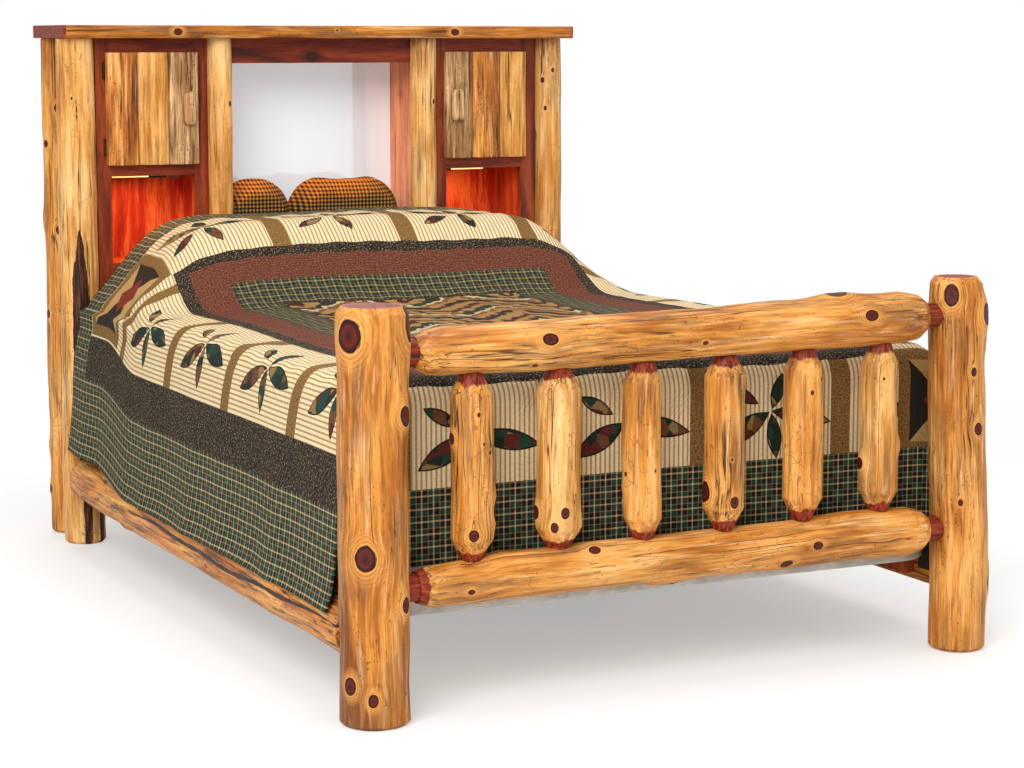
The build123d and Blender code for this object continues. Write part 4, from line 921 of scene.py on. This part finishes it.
def stuffed(name, node, material, voxel, start, reach, pressure=4.0, spare=-0.001, squeeze=1.0):
    """A pillow: the node's solid scaled by start, inflated by cloth, each point kept within reach;
    squeeze then scales the heights above its bed."""
    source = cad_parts[node]
    mesh = source.data.copy()
    mesh.transform(source.matrix_world)
    mesh.materials.clear()
    mesh.materials.append(material)
    made = bpy.data.objects.new(name, mesh)
    bpy.context.scene.collection.objects.link(made)
    low, high = (np.array(corner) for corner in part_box(node))
    middle = (low + high) / 2
    remesh = made.modifiers.new("even cells", "REMESH")
    remesh.mode, remesh.voxel_size = "VOXEL", voxel
    settle(made)
    points = vertex_places(made.data)
    points = middle + (points - middle) * start
    made.data.vertices.foreach_set("co", points.ravel())
    cloth = made.modifiers.new("stuffing", "CLOTH")
    cloth.settings.quality = 5
    cloth.settings.use_pressure = True
    cloth.settings.uniform_pressure_force = pressure
    cloth.settings.effector_weights.gravity = 0
    cloth.point_cache.frame_end = MOMENTS
    for moment in range(1, MOMENTS + 1):
        bpy.context.scene.frame_set(moment)
    settle(made)
    bpy.context.scene.frame_set(1)
    moved = vertex_places(made.data) - points
    length = np.linalg.norm(moved, axis=1, keepdims=True)
    points = points + moved * np.minimum(1, reach / np.maximum(length, 1e-9))
    points = np.clip(points, low - np.array([spare, 0, 0]), high + np.array([spare, 0, spare]))
    bed = points[:, 2].min()
    points[:, 2] = bed + (points[:, 2] - bed) * squeeze
    made.data.vertices.foreach_set("co", points.ravel())
    smooth = made.modifiers.new("finer", "SUBSURF")
    smooth.levels = smooth.render_levels = 1
    settle(made)
    layer = made.data.attributes.new("cloth", "FLOAT_VECTOR", "POINT")
    layer.data.foreach_set("vector", vertex_places(made.data).ravel())
    made.data.shade_smooth()
    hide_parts(node)
    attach(made, "root")
    return made


for side in ("left", "right"):
    stuffed(f"cushion_{side}", f"nook_cushion_{side}", cushion_cloth, 0.005,
            start=1.06, reach=0.016, pressure=2.5, spare=0.018)
    for level, layer, squeeze in (("low", "lower", 1.0), ("high", "upper", 0.74)):
        stuffed(f"pillow_{level}_{side}", f"pillow_{layer}_{side}", pillow_cloth, 0.012,
                start=0.84, reach=0.014, squeeze=squeeze)
    print("stuffed pieces,", side)

# %% [markdown]
# ## Mattress and box spring
# These are sewn over a stiff core, so they keep their shape: a rounded rectangle carried up
# through the height, with rounded edges.

# %% Make the mattress and the box spring
def block(name, node, material, corner, edge, rows=8, columns=240):
    """A mattress: a rounded rectangle carried up through its height; near the top and bottom it
    draws in by edge * (1 - sin a) while it rises by edge * (1 - cos a)."""
    low, high = (np.array(c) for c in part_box(node))
    half, centre = (high - low) / 2, (high + low) / 2
    turn = np.linspace(0, np.pi / 2, rows)
    draw, rise = edge * (1 - np.sin(turn)), edge * (1 - np.cos(turn))
    lid = [half[0] - 0.02]
    inset = np.concatenate([lid, draw, draw[::-1], lid])
    level = np.concatenate([[-half[2]], -half[2] + rise, half[2] - rise[::-1], [half[2]]])
    ring, _ = box_ring(half[0], half[1], corner, columns)
    shrink = 1 - inset[:, None, None] / half[None, None, :2]
    height = np.broadcast_to(level[:, None, None], (len(level), columns, 1))
    grid = np.concatenate([ring[None] * shrink, height], axis=2) + centre
    made = mesh_object(name, with_poles(grid), ring_faces(*grid.shape[:2]), material, sharp=0)
    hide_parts(node)
    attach(made, "root")
    return made


block("mattress_body", "mattress", cream_cloth, corner=0.09, edge=0.085)
block("box_spring_body", "box_spring", box_cloth, corner=0.06, edge=0.012)
print("mattress and box spring made")

# %% [markdown]
# ## The quilt's outlines
# The quilt is one cloth, 2.51 by 2.51 m, with a corner cut out beside each foot post. It rises
# over two layers of pillows at the head. Each section across the bed is an outline from the hem
# to the middle of the bed, through points (distance from the middle, height): one over the flat
# part and one over the pillows. A point's place on the cloth is its share of that line, so over
# the pillows the cloth is drawn about 2 % longer than cut.

# %% Outlines across the bed
HALF_WIDTH, LENGTH = 1.255, 2.514
FLAT = [(0.840, 0.236), (0.834, 0.256), (0.824, 0.300), (0.814, 0.400), (0.804, 0.560), (0.790, 0.650),
        (0.776, 0.692), (0.758, 0.718), (0.722, 0.731), (0.600, 0.7325), (0.474, 0.733), (0.0, 0.735)]
FULL = [(0.830, 0.288), (0.822, 0.330), (0.812, 0.420), (0.806, 0.520), (0.794, 0.606), (0.782, 0.650),
        (0.770, 0.684), (0.748, 0.722), (0.694, 0.780), (0.620, 0.862), (0.540, 0.925), (0.440, 0.952),
        (0.300, 0.958), (0.0, 0.960)]


def outline(points, count):
    """Middle-to-hem outline, spaced evenly on a Catmull-Rom curve: the stretch from b to c sets out
    along c - a and arrives along d - b."""
    p = np.array(points[::-1])
    p = np.concatenate([[2 * p[0] - p[1]], p, [2 * p[-1] - p[-2]]])
    t = np.linspace(0, 1, 12, endpoint=False)[:, None, None]
    a, b, c, d = p[:-3], p[1:-2], p[2:-1], p[3:]
    curve = 0.5 * (2 * b + (c - a) * t + (2 * a - 5 * b + 4 * c - d) * t**2 + (3 * b - a - 3 * c + d) * t**3)
    return even(np.concatenate([curve.transpose(1, 0, 2).reshape(-1, 2), p[-2:-1]]), count)


SIDE_COLUMNS, ROWS = 101, 202
flat_side, full_side = outline(FLAT, SIDE_COLUMNS), outline(FULL, SIDE_COLUMNS)
for name, side in (("flat", flat_side), ("over the pillows", full_side)):
    print(name, round(float(np.linalg.norm(np.diff(side, axis=0), axis=1).sum()), 3), "m to the hem")

# %% [markdown]
# ## The quilt along the bed
# From the head the cloth lies over the pillows, comes down to the flat part, goes round the
# mattress's foot edge and hangs. The rise over the pillows is a smooth step, 3 u^2 - 2 u^3. The
# line along the middle of the bed is measured, which gives each row of the cloth its place on it.

# %% Lay the quilt along the bed
HEAD_EDGE, FOOT_EDGE = 0.946, -1.0343    # y of the cloth's head edge, and where its foot turns down
TOP, HUMP = 0.735, 0.225                 # height of the flat part, and of the pillows above it
RISE_START, RISE_END = 0.3625, 0.6825    # y where the rise starts and ends
FOLD = 0.068                             # radius of the turn over the foot edge
MIDDLE_PART = 0.81                       # |s| inside which the cloth goes over the foot edge
t = np.linspace(0, LENGTH, ROWS)
y_line = np.linspace(HEAD_EDGE, FOOT_EDGE, 800)
share = np.clip((y_line - RISE_START) / (RISE_END - RISE_START), 0, 1)
hump_line = share**2 * (3 - 2 * share)
z_line = TOP + HUMP * hump_line
run = np.concatenate([[0], np.cumsum(np.hypot(np.diff(y_line), np.diff(z_line)))])
foot_start = run[-1]
y_top = np.interp(t, run, y_line)[:, None]
hump = np.interp(t, run, hump_line)[:, None, None]

half_sections = flat_side[None] + hump * (full_side - flat_side)[None]
x_half, z_half = half_sections[..., 0], half_sections[..., 1]
x = np.concatenate([-x_half[:, :0:-1], x_half], axis=1)
z = np.concatenate([z_half[:, :0:-1], z_half], axis=1)
fraction = np.linspace(0, 1, SIDE_COLUMNS)
s = np.concatenate([-fraction[:0:-1], fraction]) * HALF_WIDTH

beyond = np.clip(t - foot_start, 0, None)[:, None]
turned = np.clip(beyond / FOLD, 0, np.pi / 2)
hang = np.clip(beyond - FOLD * np.pi / 2, 0, None)
drop = FOLD * (1 - np.cos(turned)) + hang
middle_part = np.abs(s)[None] < MIDDLE_PART
over_foot = np.where(beyond > 0, FOOT_EDGE - FOLD * np.sin(turned), y_top)
beside = np.where(beyond > 0, FOOT_EDGE - beyond, y_top)
y = np.where(middle_part, over_foot, beside)
z = np.where(middle_part, z - drop, z)
print("quilt", round(float(foot_start), 3), "m from its head edge to the foot edge of the bed")

# %% [markdown]
# ## Waves, puffs and cut corners
# Where the cloth hangs it waves, and it stays outside the round face of the side rail. Where it
# lies, the stitching puffs it up. Each wave is a sine along the hem. The quads beyond the corner
# cut are left out, and every point keeps its place (s, t) on the flat cloth for the pattern.

# %% Shape the hanging sides and cut the corners
HANG_START = 0.70    # height below which the cloth hangs free
HANG_FULL = 0.45     # how far below that its waves are full
RAIL_GAP = 0.0085    # from the side rail to the cloth
SWAY = 0.6           # share of each wave that the sides take
PUFF = 0.105         # period of the puffs, along and across
PUFF_HEIGHT, SWELL_HEIGHT = 0.0018, 0.003
down = np.clip((HANG_START - z) / HANG_FULL, 0, 1)
rng = np.random.default_rng(7)
wave = np.zeros_like(z)
for length, size in [(0.9, 0.006), (0.5, 0.005), (0.31, 0.004), (0.19, 0.002)]:
    wave += size * np.sin(2 * np.pi * y / length + rng.uniform(0, 6.28) + 1.5 * np.sign(x))
side_hang = ~middle_part * down
x = x + np.sign(x) * wave * side_hang * SWAY
rail_bulge = np.sqrt(np.clip((RAIL_RADIUS + 0.001)**2 - (z - RAIL_Z)**2, 0, None))
over_rail = RAIL_X + RAIL_DEPTH * rail_bulge + RAIL_GAP
x = np.where(side_hang > 0, np.sign(x) * np.maximum(np.abs(x), over_rail), x)
puff = PUFF_HEIGHT * np.sin(2 * np.pi * s[None] / PUFF) * np.sin(2 * np.pi * t[:, None] / PUFF)
z = z + np.where(down > 0, 0, puff)
z += SWELL_HEIGHT * np.sin(2 * np.pi * (s[None] / 0.7 + t[:, None] / 0.9)) * (down == 0)
points = np.stack([x, y, z], axis=2)
index = np.arange(points[..., 0].size).reshape(points.shape[:2])
quads = np.stack([index[:-1, :-1], index[1:, :-1], index[1:, 1:], index[:-1, 1:]], axis=-1)
mid_s = np.abs((s[1:] + s[:-1]) / 2)[None]
mid_t = ((t[1:] + t[:-1]) / 2)[:, None]
cut_s, cut_t = 0.784, foot_start + 0.065
kept = ~((mid_s > cut_s) & (mid_t > cut_t))
faces = quads[kept].reshape(-1, 4)
used, order = np.unique(faces, return_inverse=True)
cloth_points = points.reshape(-1, 3)[used]
places = np.stack(np.broadcast_arrays(s[None], t[:, None], 0.0), axis=2).reshape(-1, 3)[used]

# %% [markdown]
# ## Stripes, plaids and leaves
# A printed stripe starts again after each period, so it is a ramp of the fraction of a length. A
# plaid is two such stripes crossed. A leaf is a lens, and a spray is the deepest of five leaves.

# %% Stripes, plaids and leaves
def stripes(node, value, period, stops, step=True):
    """A ramp that starts again every period metres: ramp(fract(value / period))."""
    turn = node("Math", {0: value, 1: 1 / period}, operation="MULTIPLY")
    turn = node("Math", {0: turn}, operation="FRACT")
    return node("ValToRGB", {"Fac": turn}, step=step, stops=stops)


def plaid(node, s, t, period, line, dark, middle, thread):
    """Squares of two depths with a thread-coloured line through each and a dim one between,
    brightest at crossings."""
    broad = [stripes(node, value, 2 * period, [(0, 0.0), (0.5, 1.0)]) for value in (s, t)]
    fine = [stripes(node, value, period, [(0, 0.35), (0.7 * line, 0.0), (0.5 - line / 2, 0.85),
                                          (0.5 + line / 2, 0.0)]) for value in (s, t)]
    broad = node("Math", {0: broad[0], 1: broad[1]}, operation="ADD")
    broad = node("Math", {0: broad, 1: 0.5}, operation="MULTIPLY")
    squares = node("ValToRGB", {"Fac": broad}, step=True, stops=[(0, dark), (0.3, middle), (0.8, dark)])
    fine = node("Math", {0: fine[0], 1: fine[1]}, operation="ADD")
    fine = node("Math", {0: fine, 1: 0.5}, operation="MULTIPLY")
    mask = node("ValToRGB", {"Fac": fine}, stops=[(0, 0.0), (0.45, 0.42), (0.82, 1.0)])
    return node("Mix", {0: mask, 6: squares, 7: thread}, out=2, data_type="RGBA")


def leaf_spray(node, a, b):
    """How deep (a, b) lies in any leaf: width * (1 - (u / length)^2) - |w|, where u runs along
    the leaf from its middle and w across it."""
    deepest = None
    for degrees, reach, length, width in ((12, 0.085, 0.085, 0.024), (152, 0.080, 0.075, 0.026),
                                          (82, 0.060, 0.055, 0.020), (-70, 0.050, 0.045, 0.018),
                                          (-152, 0.090, 0.050, 0.016)):
        turn = math.radians(degrees)
        u = node("Math", {0: a, 1: math.cos(turn)}, operation="MULTIPLY")
        u = node("Math", {0: b, 1: math.sin(turn), 2: u}, operation="MULTIPLY_ADD")
        w = node("Math", {0: a, 1: -math.sin(turn)}, operation="MULTIPLY")
        w = node("Math", {0: b, 1: math.cos(turn), 2: w}, operation="MULTIPLY_ADD")
        w = node("Math", {0: w}, operation="ABSOLUTE")
        u = node("Math", {0: u, 1: reach}, operation="SUBTRACT")
        u = node("Math", {0: u, 1: 1 / length}, operation="MULTIPLY")
        u = node("Math", {0: u, 1: u}, operation="MULTIPLY")
        lens = node("Math", {0: u, 1: -width, 2: width}, operation="MULTIPLY_ADD")
        lens = node("Math", {0: lens, 1: w}, operation="SUBTRACT")
        deepest = lens if deepest is None else node("Math", {0: deepest, 1: lens}, operation="MAXIMUM")
    return deepest


def panels(node, value, first, period):
    """Place along a row of panels, from the middle of the panel: -period/2 to period/2."""
    turn = node("Math", {0: value, 1: first}, operation="SUBTRACT")
    turn = node("Math", {0: turn, 1: 1 / period}, operation="MULTIPLY")
    turn = node("Math", {0: turn}, operation="FRACT")
    return node("Math", {0: turn, 1: period, 2: -period / 2}, operation="MULTIPLY_ADD")


def flames(node, cloth, s, t):
    """Long flames: steps of colour along v = t + 1.1 * pingpong(s, 0.16) + 0.10 * noise, again
    every 0.31 m."""
    flame = node("Math", {0: s, 1: 0.16}, operation="PINGPONG")
    flame = node("Math", {0: flame, 1: 1.1, 2: t}, operation="MULTIPLY_ADD")
    ragged = node("TexNoise", {"Vector": cloth, "Scale": 26.0, "Detail": 2.0})
    flame = node("Math", {0: ragged, 1: 0.10, 2: flame}, operation="MULTIPLY_ADD")
    return stripes(node, flame, 0.31, [
        (0, "#A07A46"), (0.18, "#4A2018"), (0.30, "#A07A46"), (0.42, "#28301F"), (0.56, "#C4B088"),
        (0.64, "#7A4E30"), (0.74, "#A07A46"), (0.86, "#2A2018")])


def leaf_scraps(node, cloth, depth):
    """Leaves of small dark scraps with a sewn edge, 3.5 mm wide."""
    scrap = node("TexVoronoi", {"Vector": cloth, "Scale": 34.0}, out=1)
    scrap = node("ValToRGB", {"Fac": node("SeparateXYZ", {0: scrap})}, step=True, stops=[
        (0, "#1C2A22"), (0.3, "#6A4428"), (0.5, "#1E3E30"), (0.7, "#5A241C"), (0.85, "#8E7448")])
    stitch = node("Math", {0: depth, 1: 0.0035}, operation="LESS_THAN")
    return over(node, scrap, "#14120F", stitch)


def corner_block(node, across, along):
    """Four triangles round a red square; also the distance from the block's middle, as the larger
    of |across| and |along|."""
    across = node("Math", {0: across}, operation="ABSOLUTE")
    along = node("Math", {0: along}, operation="ABSOLUTE")
    split = node("Math", {0: across, 1: along}, operation="GREATER_THAN")
    field = over(node, "#B8945C", "#2A2018", split)
    diamond = node("Math", {0: across, 1: along}, operation="ADD")
    diamond = node("Math", {0: diamond, 1: 0.060}, operation="LESS_THAN")
    field = over(node, field, "#7A2A1E", diamond)
    return field, node("Math", {0: across, 1: along}, operation="MAXIMUM")


print("leaf, flame and corner patterns ready")

# %% [markdown]
# ## The patchwork
# The quilt is pieced from printed cotton: a plaid border, striped ticking with brown bars, narrow
# black and terracotta bands, and a centre of long flames. Its pattern is drawn on the flat cloth,
# so it keeps its size wherever the cloth turns.
#
# q is the distance outward from the flame centre, as the largest of the distances to its four
# sides, so the bands meet in mitred corners. A band starts wherever q passes a set distance. The
# ticking is a row of panels with a spray of leaves in each, and a block in every corner.

# %% The patchwork cotton
CENTRE_HALF, CENTRE_HEAD, CENTRE_FOOT = 0.349, 0.63, 1.83    # half width and ends of the centre
HEAD_SCALE = 1.25                                            # bands at the head are narrower
PANEL_SIDE, PANEL_HEAD, PANEL_FOOT = 0.775, 0.266, 2.23      # lines through the panels' middles
SIDE_FIRST, SIDE_PERIOD = 0.925, 0.4455                      # the bars of a side row, along t
END_FIRST, END_PERIOD = 0.090, 0.385                         # the bars of an end row, along s
BAR_HALF = 0.027


def quilt_cloth():
    """Bands by q = max(|s| - 0.349, 1.25 * (0.63 - t), t - 1.83), in metres."""
    material, node = new_material("cotton patchwork, printed and quilted", Roughness=0.88,
                                  Specular_IOR_Level=0.2)
    cloth = node("Attribute", out=1, attribute_name="cloth")
    s, t = (node("SeparateXYZ", {0: cloth}, out=axis) for axis in (0, 1))
    width = node("Math", {0: s}, operation="ABSOLUTE")
    q_side = node("Math", {0: width, 1: CENTRE_HALF}, operation="SUBTRACT")
    q_head = node("Math", {0: t, 1: -HEAD_SCALE, 2: HEAD_SCALE * CENTRE_HEAD}, operation="MULTIPLY_ADD")
    q_foot = node("Math", {0: t, 1: CENTRE_FOOT}, operation="SUBTRACT")
    ends = node("Math", {0: q_head, 1: q_foot}, operation="MAXIMUM")
    q = node("Math", {0: q_side, 1: ends}, operation="MAXIMUM")
    on_side = node("Math", {0: q_side, 1: ends}, operation="GREATER_THAN")

    # Ticking: cream and tan stripes 12 mm apart. Plaids: squares 28.6 mm and 25 mm apart.
    ticking = stripes(node, s, 0.012, step=False, stops=[
        (0.0, "#EDDAB4"), (0.50, "#EDDAB4"), (0.60, "#B2935C"), (0.90, "#B2935C"), (1.0, "#EDDAB4")])
    border = plaid(node, s, t, 0.0286, 0.13, "#1E1A1A", "#1B4030", "#E6C896")
    frame_plaid = plaid(node, s, t, 0.025, 0.20, "#121A1C", "#1A3230", "#A89058")

    # Prints: terracotta in ribs 11 mm apart, brownish black with tan specks, brown bars.
    speck = node("TexNoise", {"Vector": cloth, "Scale": 210.0, "Detail": 2.0})
    terracotta, black, brown = (node("ValToRGB", {"Fac": speck}, stops=stops) for stops in (
        [(0.40, "#3A1812"), (0.52, "#64301F"), (0.66, "#8A5238")],
        [(0.53, "#1C1714"), (0.60, "#5E4A34"), (0.68, "#A08A64")],
        [(0.40, "#6A4A26"), (0.60, "#93703E")]))
    rib = stripes(node, q, 0.011, [(0, 0.0), (0.5, 0.16), (1.0, 0.0)], step=False)
    terracotta = over(node, terracotta, "#A87258", rib)

    # Panels of the ticking border: (a, b) is the place along and across the row, from the middle
    # of a panel, and bars stand on the edges between panels.
    half = node("Mix", {0: on_side, 2: END_PERIOD / 2, 3: SIDE_PERIOD / 2})
    a = node("Mix", {0: on_side, 2: panels(node, s, END_FIRST, END_PERIOD),
                     3: panels(node, t, SIDE_FIRST, SIDE_PERIOD)})
    across_side = node("Math", {0: width, 1: PANEL_SIDE}, operation="SUBTRACT")
    across_head = node("Math", {0: PANEL_HEAD, 1: t}, operation="SUBTRACT")
    across_foot = node("Math", {0: t, 1: PANEL_FOOT}, operation="SUBTRACT")
    across_end = node("Math", {0: across_head, 1: across_foot}, operation="MAXIMUM")
    b = node("Mix", {0: on_side, 2: across_end, 3: across_side})
    to_edge = node("Math", {0: node("Math", {0: a}, operation="ABSOLUTE"), 1: half}, operation="SUBTRACT")
    bar = node("Math", {0: to_edge, 1: -BAR_HALF}, operation="GREATER_THAN")
    depth = leaf_spray(node, a, b)
    leaf = node("Math", {0: depth, 1: 0.0}, operation="GREATER_THAN")
    field, from_middle = corner_block(node, across_side, across_end)
    in_corner, in_frame = (node("Math", {0: from_middle, 1: size}, operation="LESS_THAN")
                           for size in (0.134, 0.100))

    # Bands outward from the centre, then what lies on the ticking, then the outer bands.
    colour = flames(node, cloth, s, t)
    for tint, start in ((black, 0.001), (frame_plaid, 0.015), (terracotta, 0.135), (black, 0.24),
                        (ticking, 0.285)):
        passed = node("Math", {0: q, 1: start}, operation="GREATER_THAN")
        colour = over(node, colour, tint, passed)
    colour = over(node, colour, brown, bar, passed)
    colour = over(node, colour, leaf_scraps(node, cloth, depth), leaf, passed)
    colour = over(node, colour, brown, in_corner)
    colour = over(node, colour, field, in_frame)
    for distance, start, tint in ((q_side, 0.565, black), (q_side, 0.685, border),
                                  (q_head, 0.625, border), (q_foot, 0.514, border)):
        passed = node("Math", {0: distance, 1: start}, operation="GREATER_THAN")
        colour = over(node, colour, tint, passed)

    # Thread: a slight unevenness of the weave, drawn 2 mm wide so that it shows.
    thread = node("TexNoise", {"Vector": cloth, "Scale": 420.0, "Detail": 2.0})
    thread = node("ValToRGB", {"Fac": thread}, stops=[(0.35, "#C8C4BE"), (0.65, "#FFFFFF")])
    colour = node("Mix", {0: 0.8, 6: colour, 7: thread}, out=2, data_type="RGBA", blend_type="MULTIPLY")

    # Quilting: shallow waves stitched about 17 mm apart, and the loft between them.
    echo = node("TexNoise", {"Vector": cloth, "Scale": 9.0, "Detail": 0.0})
    echo = node("Math", {0: echo, 1: 14.0}, operation="MULTIPLY")
    echo = node("Math", {0: echo, 1: 0.5}, operation="PINGPONG")
    soft = node("TexNoise", {"Vector": cloth, "Scale": 40.0, "Detail": 3.0})
    height = node("Math", {0: echo, 1: 0.6, 2: soft}, operation="MULTIPLY_ADD")
    return dress(material, colour, height, 0.004)


patchwork = quilt_cloth()
quilt = mesh_object("quilt_cloth", cloth_points, order.reshape(-1, 4).tolist(), patchwork,
                    {"cloth": places}, sharp=0)
thick = quilt.modifiers.new("wadding", "SOLIDIFY")
thick.thickness = 0.006
thick.offset = -1.0
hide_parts("quilt")
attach(quilt, "root")
print("quilt's highest point", round(float(cloth_points[:, 2].max()), 3), "m")

# %% [markdown]
# ## Light and floor
# Furniture on a white ground is best lit by large soft boxes. The floor takes the object's soft
# shadow and fades to white further out; the background is plain white. Logs and mirror see a
# softer white room than the camera does.

# %% Lights
def area_light(name, place, aim, size, watts, colour="#FFFFFF"):
    """A soft box at a place, turned towards a point: tilted by atan2(way across, way down) and
    turned to the heading less a quarter turn."""
    data = bpy.data.lights.new(name, "AREA")
    data.shape, data.size, data.energy = "SQUARE", size, watts
    data.color = linear(colour)[:3]
    made = bpy.data.objects.new(name, data)
    bpy.context.scene.collection.objects.link(made)
    made.location = place
    step = np.array(aim, float) - place
    made.rotation_euler = (math.atan2(math.hypot(step[0], step[1]), -step[2]), 0,
                           math.atan2(step[1], step[0]) - math.pi / 2)
    return made


area_light("key", (-4.4, -5.0, 4.6), (0, 0, 0.5), 3.6, 470)
area_light("fill", (4.2, -3.6, 2.4), (0, 0, 0.6), 3.0, 45)
area_light("top", (0.2, -0.4, 4.6), (0, 0, 0.5), 3.4, 110)
area_light("back", (0.5, 4.2, 3.4), (0, 0, 0.8), 3.0, 60)
area_light("niche_glow_left", (-0.56, 1.080, 1.05), (-0.56, 1.080, 0.8), 0.12, 1.0, "#FFA860")
area_light("niche_glow_right", (0.46, 1.080, 1.05), (0.50, 1.080, 0.8), 0.12, 1.0, "#FFA860")

# %% The white room
world = bpy.data.worlds.new("white room")
bpy.context.scene.world = world
world.use_nodes = True
tree = world.node_tree
tree.nodes.clear()
path = tree.nodes.new("ShaderNodeLightPath")
direct = add(tree, "Math", {0: path.outputs["Is Camera Ray"], 1: path.outputs["Is Transmission Ray"]},
             operation="MAXIMUM")
ambient = add(tree, "Background", {"Color": "#FFFFFF", "Strength": 0.46})
mirrored = add(tree, "Background", {"Color": "#FFFFFF", "Strength": 0.75})
plain = add(tree, "Background", {"Color": "#FFFFFF", "Strength": 1.0})
seen = add(tree, "MixShader", {0: path.outputs["Is Glossy Ray"], 1: ambient, 2: mirrored})
seen = add(tree, "MixShader", {0: direct, 1: seen, 2: plain})
output = tree.nodes.new("ShaderNodeOutputWorld")
tree.links.new(seen, output.inputs["Surface"])

print("world", world.name)

# %% The floor
bpy.ops.mesh.primitive_plane_add(size=24)
floor = bpy.context.object
floor.name = "floor"
ground, node = new_material("white paper sweep", Base_Color="#F4F3F1", Roughness=0.9)
tree = ground.node_tree
shader = tree.nodes["Principled BSDF"]
white = node("Emission", {"Color": "#FFFFFF", "Strength": 1.0})
path = tree.nodes.new("ShaderNodeLightPath")
place = node("TexCoord", out=3)
away = node("VectorMath", {0: place}, operation="LENGTH", out=1)
fade = node("MapRange", {"Value": away, "From Min": 1.9, "From Max": 4.2, "To Min": 0.40})
fade = node("Math", {0: fade, 1: path.outputs["Is Camera Ray"]}, operation="MULTIPLY")
mixed = node("MixShader", {0: fade, 1: shader.outputs[0], 2: white})
tree.links.new(mixed, tree.nodes["Material Output"].inputs["Surface"])
floor.data.materials.append(ground)
print("floor", tuple(floor.dimensions))

# %% [markdown]
# ## The camera
# A long lens from a few metres away keeps the logs upright and true. The camera stands to the
# left of the foot, at the height of a person's chest, and looks a little down.

# %% The camera and the view
camera_data = bpy.data.cameras.new("camera")
camera_data.lens, camera_data.sensor_width = 86.79, 36
camera = bpy.data.objects.new("camera", camera_data)
camera.location = (-2.7805, -5.976, 1.4625)
camera.rotation_euler = (math.radians(82.094), 0, math.radians(-26.086))
bpy.context.scene.collection.objects.link(camera)
bpy.context.scene.camera = camera
bpy.context.scene.view_settings.view_transform = "Standard"
